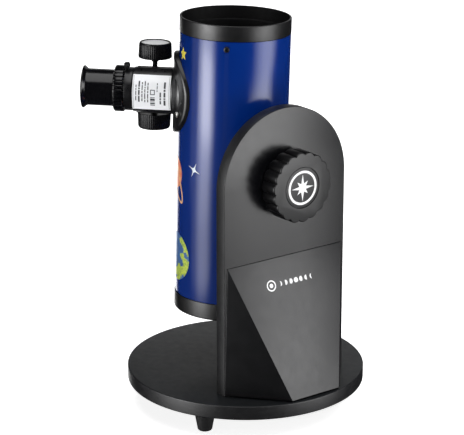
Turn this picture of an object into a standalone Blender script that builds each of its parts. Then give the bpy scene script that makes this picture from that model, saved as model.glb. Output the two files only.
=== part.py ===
"""Small tabletop Newtonian reflector on a one-armed turntable stand.

Lengths below are millimetres; they are turned into metres when a mesh is made.
Frame: +Z up, the feet stand on z = 0, +X runs along the altitude axis from the
tube towards the tension knob.  BASE_X and BASE_Y put the middle of the whole
object's footprint on the origin.
"""
import math

import bmesh
import bpy
from mathutils import Matrix, Vector

MM = 0.001
GAP = 0.3                      # clearance between touching solids

# ---- where the turntable's centre lies ------------------------------------
BASE_X = 9.16
BASE_Y = 1.52

# ---- stand ----------------------------------------------------------------
DISC_R = 109.7
DISC_LOW = 23.6
DISC_TOP = 36.5
GROUND_LOW = 16.3
GROUND_TOP = 22.6
FOOT_RING_R = 83.8
FOOT_ANGLES = (-62.7, 57.3, 177.3)
CORNER_R = 9.5
BOLT_R = 4.0                   # M8

# ---- arm and brace --------------------------------------------------------
ARM_IN = 46.6
ARM_OUT = 58.55
ARM_HALF = 67.3
PIVOT_Z = 225.57
BRACE_BACK = ARM_OUT + GAP
BRACE_FOOT_X = 105.1
BRACE_FOOT_HALF = 26.5
BRACE_LOW = 38.0
BRACE_TOP = 156.7
BRACE_TOP_HALF = 64.3

# ---- tension knob ---------------------------------------------------------
KNOB_R = 31.9
KNOB_BACK = 60.9
KNOB_SKIRT = 64.4
KNOB_FRONT = 82.8
KNOB_LOBES = 18

# ---- optical tube (local z is measured from the altitude axis) ------------
TUBE_TILT = -1.81              # degrees about +X at rest
TUBE_AXIS_X = -21.1
TUBE_R = 50.0
TUBE_WALL = 1.0
TUBE_TOP = 120.7
TUBE_LOW = -122.3
RING_R = 50.24
RING_LOW = 121.0
RING_TOP = 134.67
CAP_R = 50.46
CAP_TOP = -122.6
CAP_LOW = -137.88
SLEEVE_OUT = TUBE_R - TUBE_WALL - GAP
SLEEVE_IN = 47.2
SPIDER_Z = 114.0
SPIDER_ANGLE = -45.2

# ---- optics: 76 mm aperture, 300 mm focal length --------------------------
MIRROR_R = 38.0
FOCAL = 300.0
MIRROR_BACK = -124.7
MIRROR_EDGE = -115.2
DIAGONAL_R = 10.8
DIAGONAL_T = 3.0

# ---- focuser (local x runs outwards along its axis, z along the tube) -----
FOCUS_Z = 63.1
FOCUS_ANGLE = -132.3
BODY_R = 20.44
BODY_END = 90.7
BORE_R = 17.5
DRAW_R = 17.2
DRAW_BORE = 16.0
SADDLE_R = 49.5
SADDLE_X = 5.3
SADDLE_SEAT = 54.07
PINION_X = 75.2
PINION_Y = -23.0
GEAR_MODULE = 0.7
GEAR_TEETH = 12
PITCH_R = GEAR_MODULE * GEAR_TEETH / 2
LOCK_X = 96.4
LOCK_ANGLE = 72.0

for ob in list(bpy.data.objects):
    bpy.data.objects.remove(ob, do_unlink=True)


# ---------------------------------------------------------------- materials
def material(name, color, roughness, metallic=0.0):
    mat = bpy.data.materials.new(name)
    mat.use_nodes = True
    bsdf = mat.node_tree.nodes["Principled BSDF"]
    bsdf.inputs["Base Color"].default_value = (*color, 1.0)
    bsdf.inputs["Roughness"].default_value = roughness
    bsdf.inputs["Metallic"].default_value = metallic
    mat.diffuse_color = (*color, 1.0)
    return mat


BOARD = material("black_board", (0.055, 0.056, 0.060), 0.55)
BLUE = material("tube_blue", (0.005, 0.035, 0.20), 0.22)
SATIN = material("satin_black_plastic", (0.020, 0.020, 0.021), 0.42)
GLOSS = material("gloss_black_plastic", (0.010, 0.010, 0.011), 0.18)
RUBBER = material("black_rubber", (0.018, 0.018, 0.018), 0.75)
STEEL = material("zinc_steel", (0.62, 0.62, 0.60), 0.32, 1.0)
BLACK_STEEL = material("black_steel", (0.03, 0.03, 0.03), 0.38, 0.9)
NYLON = material("white_nylon", (0.82, 0.81, 0.77), 0.5)
MIRROR = material("mirror_coating", (0.92, 0.93, 0.94), 0.03, 1.0)
GLASS = material("coated_glass", (0.75, 0.82, 0.90), 0.03)
LABEL = material("silver_label", (0.72, 0.74, 0.76), 0.35, 0.3)
BADGE = material("badge_insert", (0.08, 0.08, 0.085), 0.4)


# ------------------------------------------------------------ mesh builders
def turned(profile, steps, along="Z"):
    """Spin a profile of (radius, height) points about the chosen axis."""
    bm = bmesh.new()
    verts = [bm.verts.new((r, 0.0, h)) for r, h in profile]
    open_ended = profile[0][0] < 1e-6 and profile[-1][0] < 1e-6
    for a, b in zip(verts, verts[1:]):
        bm.edges.new((a, b))
    if not open_ended:
        bm.edges.new((verts[-1], verts[0]))
    bmesh.ops.spin(bm, geom=bm.verts[:] + bm.edges[:], cent=(0, 0, 0),
                   axis=(0, 0, 1), angle=2 * math.pi, steps=steps,
                   use_merge=True, use_duplicate=False)
    bmesh.ops.remove_doubles(bm, verts=bm.verts[:], dist=1e-4)
    bmesh.ops.recalc_face_normals(bm, faces=bm.faces[:])
    if along == "X":
        bmesh.ops.rotate(bm, verts=bm.verts[:], cent=(0, 0, 0),
                         matrix=Matrix.Rotation(math.radians(90), 3, "Y"))
    return bm


def layered(layers, along="Z"):
    """Skin a stack of outlines, each (height, [(u, v), ...]), and cap the ends."""
    bm = bmesh.new()
    rings = []
    for h, outline in layers:
        ring = []
        for u, v in outline:
            co = (u, v, h) if along == "Z" else (h, u, v)
            ring.append(bm.verts.new(co))
        rings.append(ring)
    n = len(rings[0])
    for low, high in zip(rings, rings[1:]):
        for i in range(n):
            j = (i + 1) % n
            bm.faces.new((low[i], low[j], high[j], high[i]))
    bm.faces.new(list(reversed(rings[0])))
    bm.faces.new(rings[-1])
    bmesh.ops.recalc_face_normals(bm, faces=bm.faces[:])
    return bm


def block(x0, x1, y0, y1, z0, z1):
    return layered([(z, [(x0, y0), (x1, y0), (x1, y1), (x0, y1)]) for z in (z0, z1)])


def rod(radius, low, high, steps=10, along="Z"):
    return turned([(0, low), (radius, low), (radius, high), (0, high)], steps, along)


def moved(bm, offset=(0, 0, 0), turn=0.0, axis="Z"):
    if turn:
        bmesh.ops.rotate(bm, verts=bm.verts[:], cent=(0, 0, 0),
                         matrix=Matrix.Rotation(math.radians(turn), 3, axis))
    bmesh.ops.translate(bm, verts=bm.verts[:], vec=Vector(offset))
    return bm


def joined(*parts):
    """Several separate shells as one mesh; only used for cutters."""
    out = bmesh.new()
    for bm in parts:
        tmp = bpy.data.meshes.new("tmp")
        bm.to_mesh(tmp)
        out.from_mesh(tmp)
        bpy.data.meshes.remove(tmp)
        bm.free()
    return out


def polar(radius, degrees):
    a = math.radians(degrees)
    return radius * math.cos(a), radius * math.sin(a)


# ---------------------------------------------------------- object builders
def frame(name, parent=None, at=(0, 0, 0), turn=(0, 0, 0)):
    ob = bpy.data.objects.new(name, None)
    bpy.context.scene.collection.objects.link(ob)
    ob.parent = parent
    ob.location = [c * MM for c in at]
    ob.rotation_euler = [math.radians(t) for t in turn]
    return ob


def placed(name, bm, parent, mat=None):
    mesh = bpy.data.meshes.new(name)
    bmesh.ops.scale(bm, verts=bm.verts[:], vec=(MM, MM, MM))
    bm.to_mesh(mesh)
    bm.free()
    ob = bpy.data.objects.new(name, mesh)
    bpy.context.scene.collection.objects.link(ob)
    ob.parent = parent
    if mat:
        mesh.materials.append(mat)
    return ob


def guide(bm, parent, name):
    ob = placed("guide_" + name, bm, parent)
    ob.hide_render = True
    ob.display_type = "WIRE"
    return ob


def part(name, bm, parent, mat, add=(), keep=None, cut=()):
    """A named solid; add joins shapes to it, keep trims it, cut bores it."""
    ob = placed(name, bm, parent, mat)
    for i, extra in enumerate(add):
        mod = ob.modifiers.new("add_%d" % i, "BOOLEAN")
        mod.operation = "UNION"
        mod.solver = "EXACT"
        mod.object = guide(extra, parent, "%s_add_%d" % (name, i))
    if keep is not None:
        mod = ob.modifiers.new("keep", "BOOLEAN")
        mod.operation = "INTERSECT"
        mod.solver = "EXACT"
        mod.object = guide(keep, parent, name + "_keep")
    for i, cutter in enumerate(cut):
        mod = ob.modifiers.new("cut_%d" % i, "BOOLEAN")
        mod.operation = "DIFFERENCE"
        mod.solver = "EXACT"
        mod.object = guide(cutter, parent, "%s_cut_%d" % (name, i))
    ob.data.shade_smooth()
    ob.data.set_sharp_from_angle(angle=math.radians(32))
    return ob


# ------------------------------------------------------------------- frames
stand = frame("stand", None, (BASE_X, BASE_Y, 0))
azimuth_axis = frame("azimuth_axis", stand, (0, 0, 0))
knob_axis = frame("knob_axis", azimuth_axis, (0, 0, PIVOT_Z))
altitude_axis = frame("altitude_axis", azimuth_axis, (0, 0, PIVOT_Z), (TUBE_TILT, 0, 0))
tube = frame("tube_frame", altitude_axis, (TUBE_AXIS_X, 0, 0))
focuser = frame("focuser_frame", tube, (0, 0, FOCUS_Z), (0, 0, FOCUS_ANGLE))
slide = frame("focus_slide_frame", focuser)
pinion = frame("pinion_axis", focuser, (PINION_X, PINION_Y, 0))
lock = frame("lock_screw_axis", slide, (LOCK_X, 0, 0), (LOCK_ANGLE - 90, 0, 0))
eyepiece = frame("eyepiece_frame", slide)


# -------------------------------------------------------------- ground part
def rounded_triangle(inset):
    pts = []
    r = CORNER_R - inset
    for a in FOOT_ANGLES:
        cx, cy = polar(FOOT_RING_R, a)
        for k in range(9):
            dx, dy = polar(r, a - 60 + 120 * k / 8)
            pts.append((cx + dx, cy + dy))
    return pts


part("ground_board",
     layered([(GROUND_LOW, rounded_triangle(0.7)), (GROUND_LOW + 0.7, rounded_triangle(0)),
              (GROUND_TOP - 0.7, rounded_triangle(0)), (GROUND_TOP, rounded_triangle(0.7))]),
     stand, BOARD,
     cut=[rod(BOLT_R + 0.4, GROUND_LOW - 1, GROUND_TOP + 1, 16),
          joined(rod(9.5, GROUND_LOW - 1, 18.3, 22),
                 *[moved(rod(3.4, GROUND_LOW - 1, 19.5, 10), (*polar(FOOT_RING_R, a), 0))
                   for a in FOOT_ANGLES])])

for i, a in enumerate(FOOT_ANGLES, 1):
    # tapered rubber foot with a moulded stem that presses into the board
    foot = turned([(0, 0), (5.6, 0), (6.6, 1.0), (9.2, 15.3), (8.5, 16.0),
                   (3.1, 16.0), (3.1, 19.2), (0, 19.2)], 16)
    part("rubber_foot_%d" % i, moved(foot, (*polar(FOOT_RING_R, a), 0)), stand, RUBBER)

part("glide_disc", turned([(5.2, 22.9), (34, 22.9), (34, 23.3), (5.2, 23.3)], 32), stand, NYLON)


def hexagon(across, low, high, bevel=0.8):
    """Hexagonal prism with chamfered ends."""
    r = across / math.sqrt(3)

    def ring(k):
        return [polar(r * k, 60 * i) for i in range(6)]
    k = 1 - bevel / r
    return layered([(low, ring(1)), (high - bevel * 0.6, ring(1)), (high, ring(k))])


part("azimuth_bolt", hexagon(13, 13.9, 18.0), stand, STEEL,
     add=[turned([(0, 10), (BOLT_R, 10), (BOLT_R, 49.4), (BOLT_R - 0.8, 50.2), (0, 50.2)], 16)])
part("azimuth_nut", hexagon(13, 39.6, 46.6), stand, STEEL,
     add=[turned([(0, 38.6), (8.9, 38.6), (8.9, 40.0), (0, 40.0)], 22),
          turned([(0, 46.2), (5.6, 46.2), (5.2, 48.4), (0, 48.4)], 16)],
     cut=[rod(BOLT_R + 0.35, 38, 52, 16)])

# ------------------------------------------------------- turning upper part
ARM_SCREWS = ((52.6, -34.0), (52.6, 34.0))
part("base_disc",
     turned([(0, DISC_LOW), (DISC_R - 0.9, DISC_LOW), (DISC_R, DISC_LOW + 0.9),
             (DISC_R, DISC_TOP - 0.9), (DISC_R - 0.9, DISC_TOP), (0, DISC_TOP)], 72),
     azimuth_axis, BOARD,
     cut=[joined(rod(6.5, DISC_LOW - 1, DISC_TOP + 1, 18),
                *[moved(turned([(0, 22), (5.3, 22), (5.3, 25.4), (2.5, 28.2), (2.5, 38), (0, 38)], 12), (x, y, 0))
                  for x, y in ARM_SCREWS])])
part("azimuth_bushing",
     turned([(BOLT_R + 0.35, DISC_LOW + 0.4), (6.15, DISC_LOW + 0.4), (6.15, DISC_TOP + GAP),
             (11.5, DISC_TOP + GAP), (11.5, 38.0), (11.2, 38.3), (BOLT_R + 0.35, 38.3)], 18),
     azimuth_axis, NYLON)

for i, (x, y) in enumerate(ARM_SCREWS, 1):
    screw = turned([(0, 24.1), (4.6, 24.1), (4.6, 25.0), (2.1, 27.6), (2.1, 72.0), (0, 74.5)], 10)
    part("arm_screw_%d" % i, moved(screw, (x, y, 0)), azimuth_axis, STEEL)


def arm_outline(inset):
    half = ARM_HALF - inset
    pts = [(-half, DISC_TOP + GAP + inset * 0.3), (half, DISC_TOP + GAP + inset * 0.3)]
    for k in range(33):
        u, v = polar(half, 180 * k / 32)
        pts.append((u, PIVOT_Z + v))
    return pts


BRACE_SCREWS = ((-46.0, 54.0), (46.0, 54.0))
part("side_arm",
     layered([(ARM_IN, arm_outline(0.9)), (ARM_IN + 0.9, arm_outline(0)),
              (ARM_OUT - 0.9, arm_outline(0)), (ARM_OUT, arm_outline(0.9))], along="X"),
     azimuth_axis, BOARD,
     cut=[joined(moved(rod(9.4, ARM_IN - 1, ARM_OUT + 1, 22, "X"), (0, 0, PIVOT_Z)),
                *[moved(rod(2.5, 30, 76, 10), (x, y, 0)) for x, y in ARM_SCREWS],
                *[moved(rod(2.3, ARM_IN - 1, ARM_OUT + 1, 10, "X"), (0, y, z)) for y, z in BRACE_SCREWS])])


def wedge(back, lip, low, high, low_half, high_half, foot_x, foot_half):
    """Faceted buttress: upright back plate that folds out to a narrow foot."""
    bm = bmesh.new()
    v = {}
    for key, x in (("b", back), ("l", lip)):
        for s in (-1, 1):
            v[key, "low", s] = bm.verts.new((x, s * low_half, low))
            v[key, "high", s] = bm.verts.new((x, s * high_half, high))
    for s in (-1, 1):
        v["foot", s] = bm.verts.new((foot_x, s * foot_half, low))
    bm.faces.new((v["b", "low", -1], v["b", "high", -1], v["b", "high", 1], v["b", "low", 1]))
    for s in (-1, 1):
        bm.faces.new((v["b", "low", s], v["b", "high", s], v["l", "high", s], v["l", "low", s]))
        bm.faces.new((v["l", "low", s], v["l", "high", s], v["foot", s]))
    bm.faces.new((v["b", "high", -1], v["b", "high", 1], v["l", "high", 1], v["l", "high", -1]))
    bm.faces.new((v["l", "high", -1], v["l", "high", 1], v["foot", 1], v["foot", -1]))
    bm.faces.new((v["b", "low", -1], v["b", "low", 1], v["l", "low", 1], v["foot", 1],
                  v["foot", -1], v["l", "low", -1]))
    bmesh.ops.recalc_face_normals(bm, faces=bm.faces[:])
    return bm


def brace_hollow():
    """Inside of the moulded brace, with the two screw bosses left standing."""
    return wedge(BRACE_BACK - 1, BRACE_BACK + 1.2, BRACE_LOW + 2.6, BRACE_TOP - 7.2,
                 ARM_HALF - 3.3, BRACE_TOP_HALF - 3.7, BRACE_FOOT_X - 4.2, BRACE_FOOT_HALF - 1.5)


brace = placed("arm_brace",
               wedge(BRACE_BACK, BRACE_BACK + 1.2, BRACE_LOW, BRACE_TOP, ARM_HALF, BRACE_TOP_HALF,
                     BRACE_FOOT_X, BRACE_FOOT_HALF), azimuth_axis, SATIN)
for op, bm, label in (
        ("DIFFERENCE", brace_hollow(), "hollow"),
        ("UNION", moved(rod(5.0, BRACE_BACK + 0.2, 76, 12, "X"), (0, -46, 54)), "boss_a"),
        ("UNION", moved(rod(5.0, BRACE_BACK + 0.2, 76, 12, "X"), (0, 46, 54)), "boss_b"),
        ("DIFFERENCE", joined(*[moved(rod(2.1, 50, 72, 10, "X"), (0, y, z)) for y, z in BRACE_SCREWS]), "holes")):
    mod = brace.modifiers.new(label, "BOOLEAN")
    mod.operation = op
    mod.solver = "EXACT"
    mod.object = guide(bm, azimuth_axis, "brace_" + label)

for i, (y, z) in enumerate(BRACE_SCREWS, 1):
    screw = turned([(0, 43.7), (3.0, 43.7), (3.9, 44.6), (3.9, 46.3), (1.8, 46.3), (1.8, 69.0), (0, 70.8)],
                   10, "X")
    part("brace_screw_%d" % i, moved(screw, (0, y, z)), azimuth_axis, STEEL)

part("altitude_bushing",
     turned([(4.35, ARM_IN + 0.3), (9.05, ARM_IN + 0.3), (9.05, ARM_OUT + GAP), (14.0, ARM_OUT + GAP),
             (14.0, 60.1), (13.7, 60.4), (4.35, 60.4)], 22, "X"), knob_axis, NYLON)


# --------------------------------------------------------------- tension knob
def lobed(radius, depth, lobes, per=4, shrink=0.0):
    pts = []
    for k in range(lobes * per):
        a = 360.0 * k / (lobes * per)
        wave = abs(math.cos(math.radians(a * lobes / 2)))
        pts.append(polar(radius - shrink - depth * (1 - wave ** 0.7), a - 6.0))
    return pts


part("tension_knob",
     layered([(KNOB_BACK, lobed(23.0, 0.2, KNOB_LOBES)),
              (KNOB_SKIRT, lobed(24.0, 0.2, KNOB_LOBES)),
              (KNOB_SKIRT + 0.3, lobed(KNOB_R, 2.2, KNOB_LOBES, shrink=1.0)),
              (KNOB_SKIRT + 1.3, lobed(KNOB_R, 2.2, KNOB_LOBES)),
              (KNOB_FRONT - 0.8, lobed(KNOB_R, 2.2, KNOB_LOBES)),
              (KNOB_FRONT, lobed(KNOB_R, 2.1, KNOB_LOBES, shrink=0.7))], along="X"),
     knob_axis, SATIN,
     cut=[joined(rod(18.7, 81.4, 90, 32, "X"),
                turned([(0, 55), (16, 55), (16, 62.2), (4.35, 62.2), (4.35, 72.3), (0, 72.3)], 22, "X"))])
part("knob_badge", turned([(0, 81.7), (18.3, 81.7), (18.3, 82.3), (18.0, 82.6), (0, 82.6)], 32, "X"),
     knob_axis, BADGE)
part("tension_stud", turned([(0, 33.4), (BOLT_R - 0.8, 33.4), (BOLT_R, 34.2), (BOLT_R, 71.9), (0, 71.9)], 16, "X"),
     knob_axis, STEEL)

# --------------------------------------------------------------- optical tube
HUB_SCREWS = (-21.0, 21.0)


def local_x(value):
    """Distance from the turntable's centre, seen from the tube's own axis."""
    return value - TUBE_AXIS_X


part("altitude_hub",
     turned([(0, 38), (29.2, 38), (30, 38), (30, local_x(43.3)), (28.5, local_x(44.8)), (0, local_x(44.8))], 36, "X"),
     tube, SATIN,
     cut=[rod(TUBE_R + 0.35, -60, 60, 72), rod(BOLT_R + 0.35, local_x(32.5), 80, 16, "X"),
          joined(*[moved(rod(2.1, 30, local_x(41.5), 10, "X"), (0, 0, z)) for z in HUB_SCREWS])])
part("friction_pad",
     turned([(12, local_x(45.1)), (28, local_x(45.1)), (28, local_x(46.3)), (12, local_x(46.3))], 32, "X"),
     tube, RUBBER)
for i, z in enumerate(HUB_SCREWS, 1):
    screw = turned([(0, local_x(25.3)), (2.6, local_x(25.3)), (3.4, local_x(26.1)), (3.4, local_x(27.3)),
                    (1.7, local_x(27.3)), (1.7, local_x(38.5)), (0, local_x(40.2))], 10, "X")
    part("hub_screw_%d" % i, moved(screw, (0, 0, z)), tube, STEEL)

SADDLE_HOLES = [(29.0, -15.5), (-29.0, 17.5)]
SADDLE_SCREWS = [(FOCUS_ANGLE + a, FOCUS_Z + dz) for a, dz in SADDLE_HOLES]
SPIDER_SCREWS = [(SPIDER_ANGLE + 120.0 * k, SPIDER_Z) for k in range(3)]


def across_wall(radius, low, high, angle, z, steps=10):
    """A round cutter or shank that points away from the tube's axis."""
    return moved(moved(rod(radius, low, high, steps, "X"), turn=angle), (0, 0, z))


part("optical_tube",
     turned([(TUBE_R - TUBE_WALL, TUBE_LOW), (TUBE_R, TUBE_LOW), (TUBE_R, TUBE_TOP),
             (TUBE_R - TUBE_WALL, TUBE_TOP)], 72), tube, BLUE,
     cut=[joined(across_wall(20.2, 30, 60, FOCUS_ANGLE, FOCUS_Z, 28),
                *[across_wall(1.9, 40, 60, a, z) for a, z in SADDLE_SCREWS],
                *[across_wall(1.8, 40, 60, a, z) for a, z in SPIDER_SCREWS],
                *[moved(rod(2.1, 40, 60, 10, "X"), (0, 0, z)) for z in HUB_SCREWS])])
part("front_ring",
     turned([(RING_R, RING_LOW), (RING_R, RING_TOP - 0.7), (RING_R - 0.7, RING_TOP), (48.6, RING_TOP),
             (48.6, 122.7), (SLEEVE_IN, 122.0), (SLEEVE_IN, 106.0),
             (SLEEVE_OUT, 106.0), (SLEEVE_OUT, RING_LOW)], 60), tube, SATIN,
     cut=[joined(*[across_wall(1.8, 40, 60, a, z) for a, z in SPIDER_SCREWS])])
COLLIMATION = [polar(30.0, a) for a in (90, 210, 330)]
part("rear_cap",
     turned([(0, CAP_LOW), (CAP_R - 1.3, CAP_LOW), (CAP_R, CAP_LOW + 1.3),
             (CAP_R, CAP_TOP), (SLEEVE_OUT, CAP_TOP), (SLEEVE_OUT, -114.0), (SLEEVE_IN, -114.0),
             (SLEEVE_IN, CAP_LOW + 3.0), (0, CAP_LOW + 3.0)], 60), tube, SATIN,
     cut=[joined(*[moved(rod(2.4, -150, -130, 10), (x, y, 0)) for x, y in COLLIMATION])])
part("mirror_cell",
     turned([(0, -128.6), (45.0, -128.6), (45.0, -123.5), (42.5, -120.5), (38.5, -120.5),
             (38.5, -125.0), (0, -125.0)], 44), tube, SATIN,
     cut=[joined(*[moved(rod(2.35, -140, -110, 10), (x, y, 0)) for x, y in COLLIMATION])])
sagitta = [(r, MIRROR_EDGE - (MIRROR_R ** 2 - r ** 2) / (4 * FOCAL)) for r in (0, 12, 24, 37.4)]
part("primary_mirror",
     turned([(0, MIRROR_BACK), (37.3, MIRROR_BACK), (MIRROR_R, MIRROR_BACK + 0.7),
             (MIRROR_R, MIRROR_EDGE - 0.5)] + list(reversed(sagitta)), 44), tube, MIRROR)
for i, (x, y) in enumerate(COLLIMATION, 1):
    screw = turned([(0, -140.4), (3.2, -140.4), (4.0, -139.7), (4.0, -138.2), (2.0, -138.2), (2.0, -125.4),
                    (0, -125.4)], 10)
    part("collimation_screw_%d" % i, moved(screw, (x, y, 0)), tube, STEEL)


# ------------------------------------------------------- spider and diagonal
def vane(angle):
    blade = block(5, 45, -0.6, 0.6, SPIDER_Z - 4, SPIDER_Z + 4)
    return moved(blade, turn=angle)


def vane_foot(angle):
    return moved(block(41.5, 46.6, -3.2, 3.2, SPIDER_Z - 4.5, SPIDER_Z + 4.5), turn=angle)


part("spider", turned([(0, 107), (9, 107), (9, 118.4), (8.4, 119), (0, 119)], 22), tube, SATIN,
     add=[f(a) for a, z in SPIDER_SCREWS for f in (vane, vane_foot)],
     cut=[joined(rod(2.4, 100, 125, 12), *[across_wall(1.5, 43.2, 60, a, z) for a, z in SPIDER_SCREWS])])
for i, (a, z) in enumerate(SPIDER_SCREWS, 1):
    screw = turned([(0, 43.6), (1.15, 43.6), (1.15, 50.4), (2.6, 50.4), (2.6, 51.3), (1.9, 52.0), (0, 52.0)],
                   10, "X")
    part("spider_screw_%d" % i, moved(moved(screw, turn=a), (0, 0, z)), tube, BLACK_STEEL)


def slanted(radius, low, high, steps=28):
    """Round post whose ends follow z = low(x) and z = high(x) along the fold."""
    bm = bmesh.new()
    rings = []
    for f in (low, high):
        ring = []
        for k in range(steps):
            x, y = polar(radius, 360.0 * k / steps)
            ring.append(bm.verts.new((x, y, f(x))))
        rings.append(ring)
    for i in range(steps):
        j = (i + 1) % steps
        bm.faces.new((rings[0][i], rings[0][j], rings[1][j], rings[1][i]))
    bm.faces.new(list(reversed(rings[0])))
    bm.faces.new(rings[1])
    bmesh.ops.recalc_face_normals(bm, faces=bm.faces[:])
    return bm


RISE = DIAGONAL_T * math.sqrt(2)
part("secondary_mirror", slanted(DIAGONAL_R, lambda x: x, lambda x: x + RISE), focuser, MIRROR)
part("secondary_holder", slanted(DIAGONAL_R, lambda x: x + RISE + 0.45, lambda x: 29.0), focuser, SATIN,
     cut=[rod(2.3, 19.5, 40, 12)])
part("secondary_bolt",
     turned([(0, 83.4), (1.95, 83.4), (1.95, 119.4), (4.2, 119.4), (4.2, 121.4), (3.5, 122.2), (1.4, 122.2),
             (1.1, 121.0), (0, 121.0)], 12), tube, STEEL)


# ------------------------------------------------------------------- focuser
def saddle_outline(steps=52):
    """Egg-shaped edge, rounder above the barrel and squarer below it."""
    pts = []
    for k in range(steps):
        a = 2 * math.pi * k / steps
        u, v = math.cos(a), math.sin(a)
        if v >= 0:
            pts.append((35.4 * u, 1.0 + 35.7 * v))
        else:
            e = 2 / 2.4
            pts.append((35.4 * math.copysign(abs(u) ** e, u), 1.0 - 37.6 * abs(v) ** e))
    return pts


# the saddle plate hugs the tube; the barrel flares into it
saddle = moved(rod(SADDLE_R, -40, 45, 64), (SADDLE_X, 0, 0))
housing = placed("focuser_housing", saddle, focuser, SATIN)
steps_of_housing = (
    ("INTERSECT", layered([(x, saddle_outline()) for x in (20, 62)], along="X"), "outline"),
    ("UNION", turned([(0, 35), (32.6, 35), (32.6, 41.4), (29.5, 45.0), (26.5, 47.6), (24.2, 49.6), (22.2, 51.7),
                      (20.95, 53.7), (BODY_R, 55.3), (BODY_R, BODY_END - 0.7), (BODY_R - 0.7, BODY_END),
                      (0, BODY_END)], 36, "X"), "barrel"),
    ("UNION", block(48, 88, -3.6, 3.6, -20.95, 20.95), "pads"),
    ("UNION", block(48.6, 87.4, -21.4, -12.3, -6.6, 6.6), "rack_rail"),
    ("UNION", block(65.5, 85, -29, -8, -10.2, 10.2), "pinion_box"),
    ("DIFFERENCE", joined(rod(TUBE_R + 0.35, -60, 60, 72),), "tube_side"),
    ("DIFFERENCE", rod(BORE_R, 30, 100, 32, "X"), "bore"),
    ("DIFFERENCE", block(30, 100, -19.75, -10, -4.5, 4.5), "rack_slot"),
    ("DIFFERENCE", block(PINION_X - 5.4, PINION_X + 5.4, -40, -18, -5, 5), "gear_pocket"),
    ("DIFFERENCE", joined(rod(2.65, -30, 30, 12)), "shaft_bore"),
    ("DIFFERENCE", block(PINION_X - 2.4, PINION_X + 2.4, -40, PINION_Y + 0.2, -30, 30), "shaft_slot"),
    ("DIFFERENCE", joined(*[moved(moved(rod(1.9, 40, 60, 10, "X"), turn=a), (0, 0, dz))
                            for a, dz in SADDLE_HOLES]), "screw_holes"),
)
for op, bm, label in steps_of_housing:
    if label == "shaft_bore":
        moved(bm, (PINION_X, PINION_Y, 0))
    mod = housing.modifiers.new(label, "BOOLEAN")
    mod.operation = op
    mod.solver = "EXACT"
    mod.object = guide(bm, focuser, "housing_" + label)
housing.data.shade_smooth()
housing.data.set_sharp_from_angle(angle=math.radians(32))

for i, (a, z) in enumerate(SADDLE_SCREWS, 1):
    head = SADDLE_SEAT + 0.35
    screw = turned([(0, 46.2), (1.4, 46.2), (1.4, head), (2.7, head), (2.7, head + 1.1), (1.9, head + 2.0),
                    (0, head + 2.0)], 10, "X")
    part("saddle_screw_%d" % i, moved(moved(screw, turn=a), (0, 0, z)), tube, STEEL)

part("pinion_cover",
     layered([(-32.0, [(66.6, -9.3), (83.9, -9.3), (83.9, 9.3), (66.6, 9.3)]),
              (-31.0, [(65.6, -10.2), (84.9, -10.2), (84.9, 10.2), (65.6, 10.2)]),
              (-29.3, [(65.6, -10.2), (84.9, -10.2), (84.9, 10.2), (65.6, 10.2)])]), focuser, SATIN)
cover = bpy.data.objects["pinion_cover"]
cover.data.transform(Matrix(((1, 0, 0, 0), (0, 0, 1, 0), (0, 1, 0, 0), (0, 0, 0, 1))))
cover.data.flip_normals()

# maker's plate: a thin sheet bent round the barrel
plate = bmesh.new()
rows = []
for x in (55.4, 89.6):
    for radius in (BODY_R + 0.3, BODY_R + 0.55):
        rows.append([plate.verts.new((x, *polar(radius, -44 + 98 * k / 14))) for k in range(15)])
for a, b in ((0, 1), (1, 3), (3, 2), (2, 0)):
    for k in range(14):
        plate.faces.new((rows[a][k], rows[a][k + 1], rows[b][k + 1], rows[b][k]))
for k in (0, 14):
    plate.faces.new((rows[0][k], rows[1][k], rows[3][k], rows[2][k]))
bmesh.ops.recalc_face_normals(plate, faces=plate.faces[:])
part("info_label", plate, focuser, LABEL)

# drawtube with a flat for its rack
LOCK_DIR = polar(1.0, LOCK_ANGLE)


def lock_bore(radius, low, high):
    bm = rod(radius, low, high, 10)
    bmesh.ops.rotate(bm, verts=bm.verts[:], cent=(0, 0, 0),
                     matrix=Matrix.Rotation(math.radians(LOCK_ANGLE - 90), 3, "X"))
    return moved(bm, (LOCK_X, 0, 0))


part("drawtube",
     turned([(DRAW_BORE, 46.5), (DRAW_R, 46.5), (DRAW_R, 95.0), (DRAW_BORE, 95.0)], 32, "X"), slide, SATIN,
     cut=[joined(block(45.5, 89.2, -20, -16.5, -4.35, 4.35), lock_bore(1.7, 10, 30))])

RACK_PITCH = math.pi * GEAR_MODULE
RACK_LINE = PINION_Y + PITCH_R
TOOTH_HALF = RACK_PITCH / 4 - 0.13
SLOPE = math.tan(math.radians(20))
rack_outline = [(47.2, -16.8)]
count = 18
first = PINION_X - RACK_PITCH * 12
for k in range(count):
    mid = first + RACK_PITCH * k
    add, ded = 0.45, 0.75
    rack_outline += [(mid - TOOTH_HALF - ded * SLOPE, RACK_LINE + ded), (mid - TOOTH_HALF + add * SLOPE, RACK_LINE - add),
                     (mid + TOOTH_HALF - add * SLOPE, RACK_LINE - add), (mid + TOOTH_HALF + ded * SLOPE, RACK_LINE + ded)]
rack_outline += [(88.9, RACK_LINE + 0.75), (88.9, -16.8)]
rack_outline.insert(1, (47.2, RACK_LINE + 0.75))
part("rack", layered([(z, rack_outline) for z in (-4.0, 4.0)]), slide, SATIN)

part("eyepiece_collar",
     turned([(DRAW_R + 0.3, 91.0), (19.7, 91.0), (19.7, 98.3), (16.1, 98.3), (16.1, 95.3),
             (DRAW_R + 0.3, 95.3)], 32, "X"), slide, SATIN,
     cut=[lock_bore(1.7, 10, 30)])
part("lock_thumbscrew",
     turned([(0, 16.3), (1.35, 16.3), (1.35, 21.6), (2.0, 21.9), (2.0, 23.2), (2.8, 23.6), (2.8, 26.3),
            (2.3, 26.8), (0, 26.8)], 12),
     lock, BLACK_STEEL)


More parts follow.
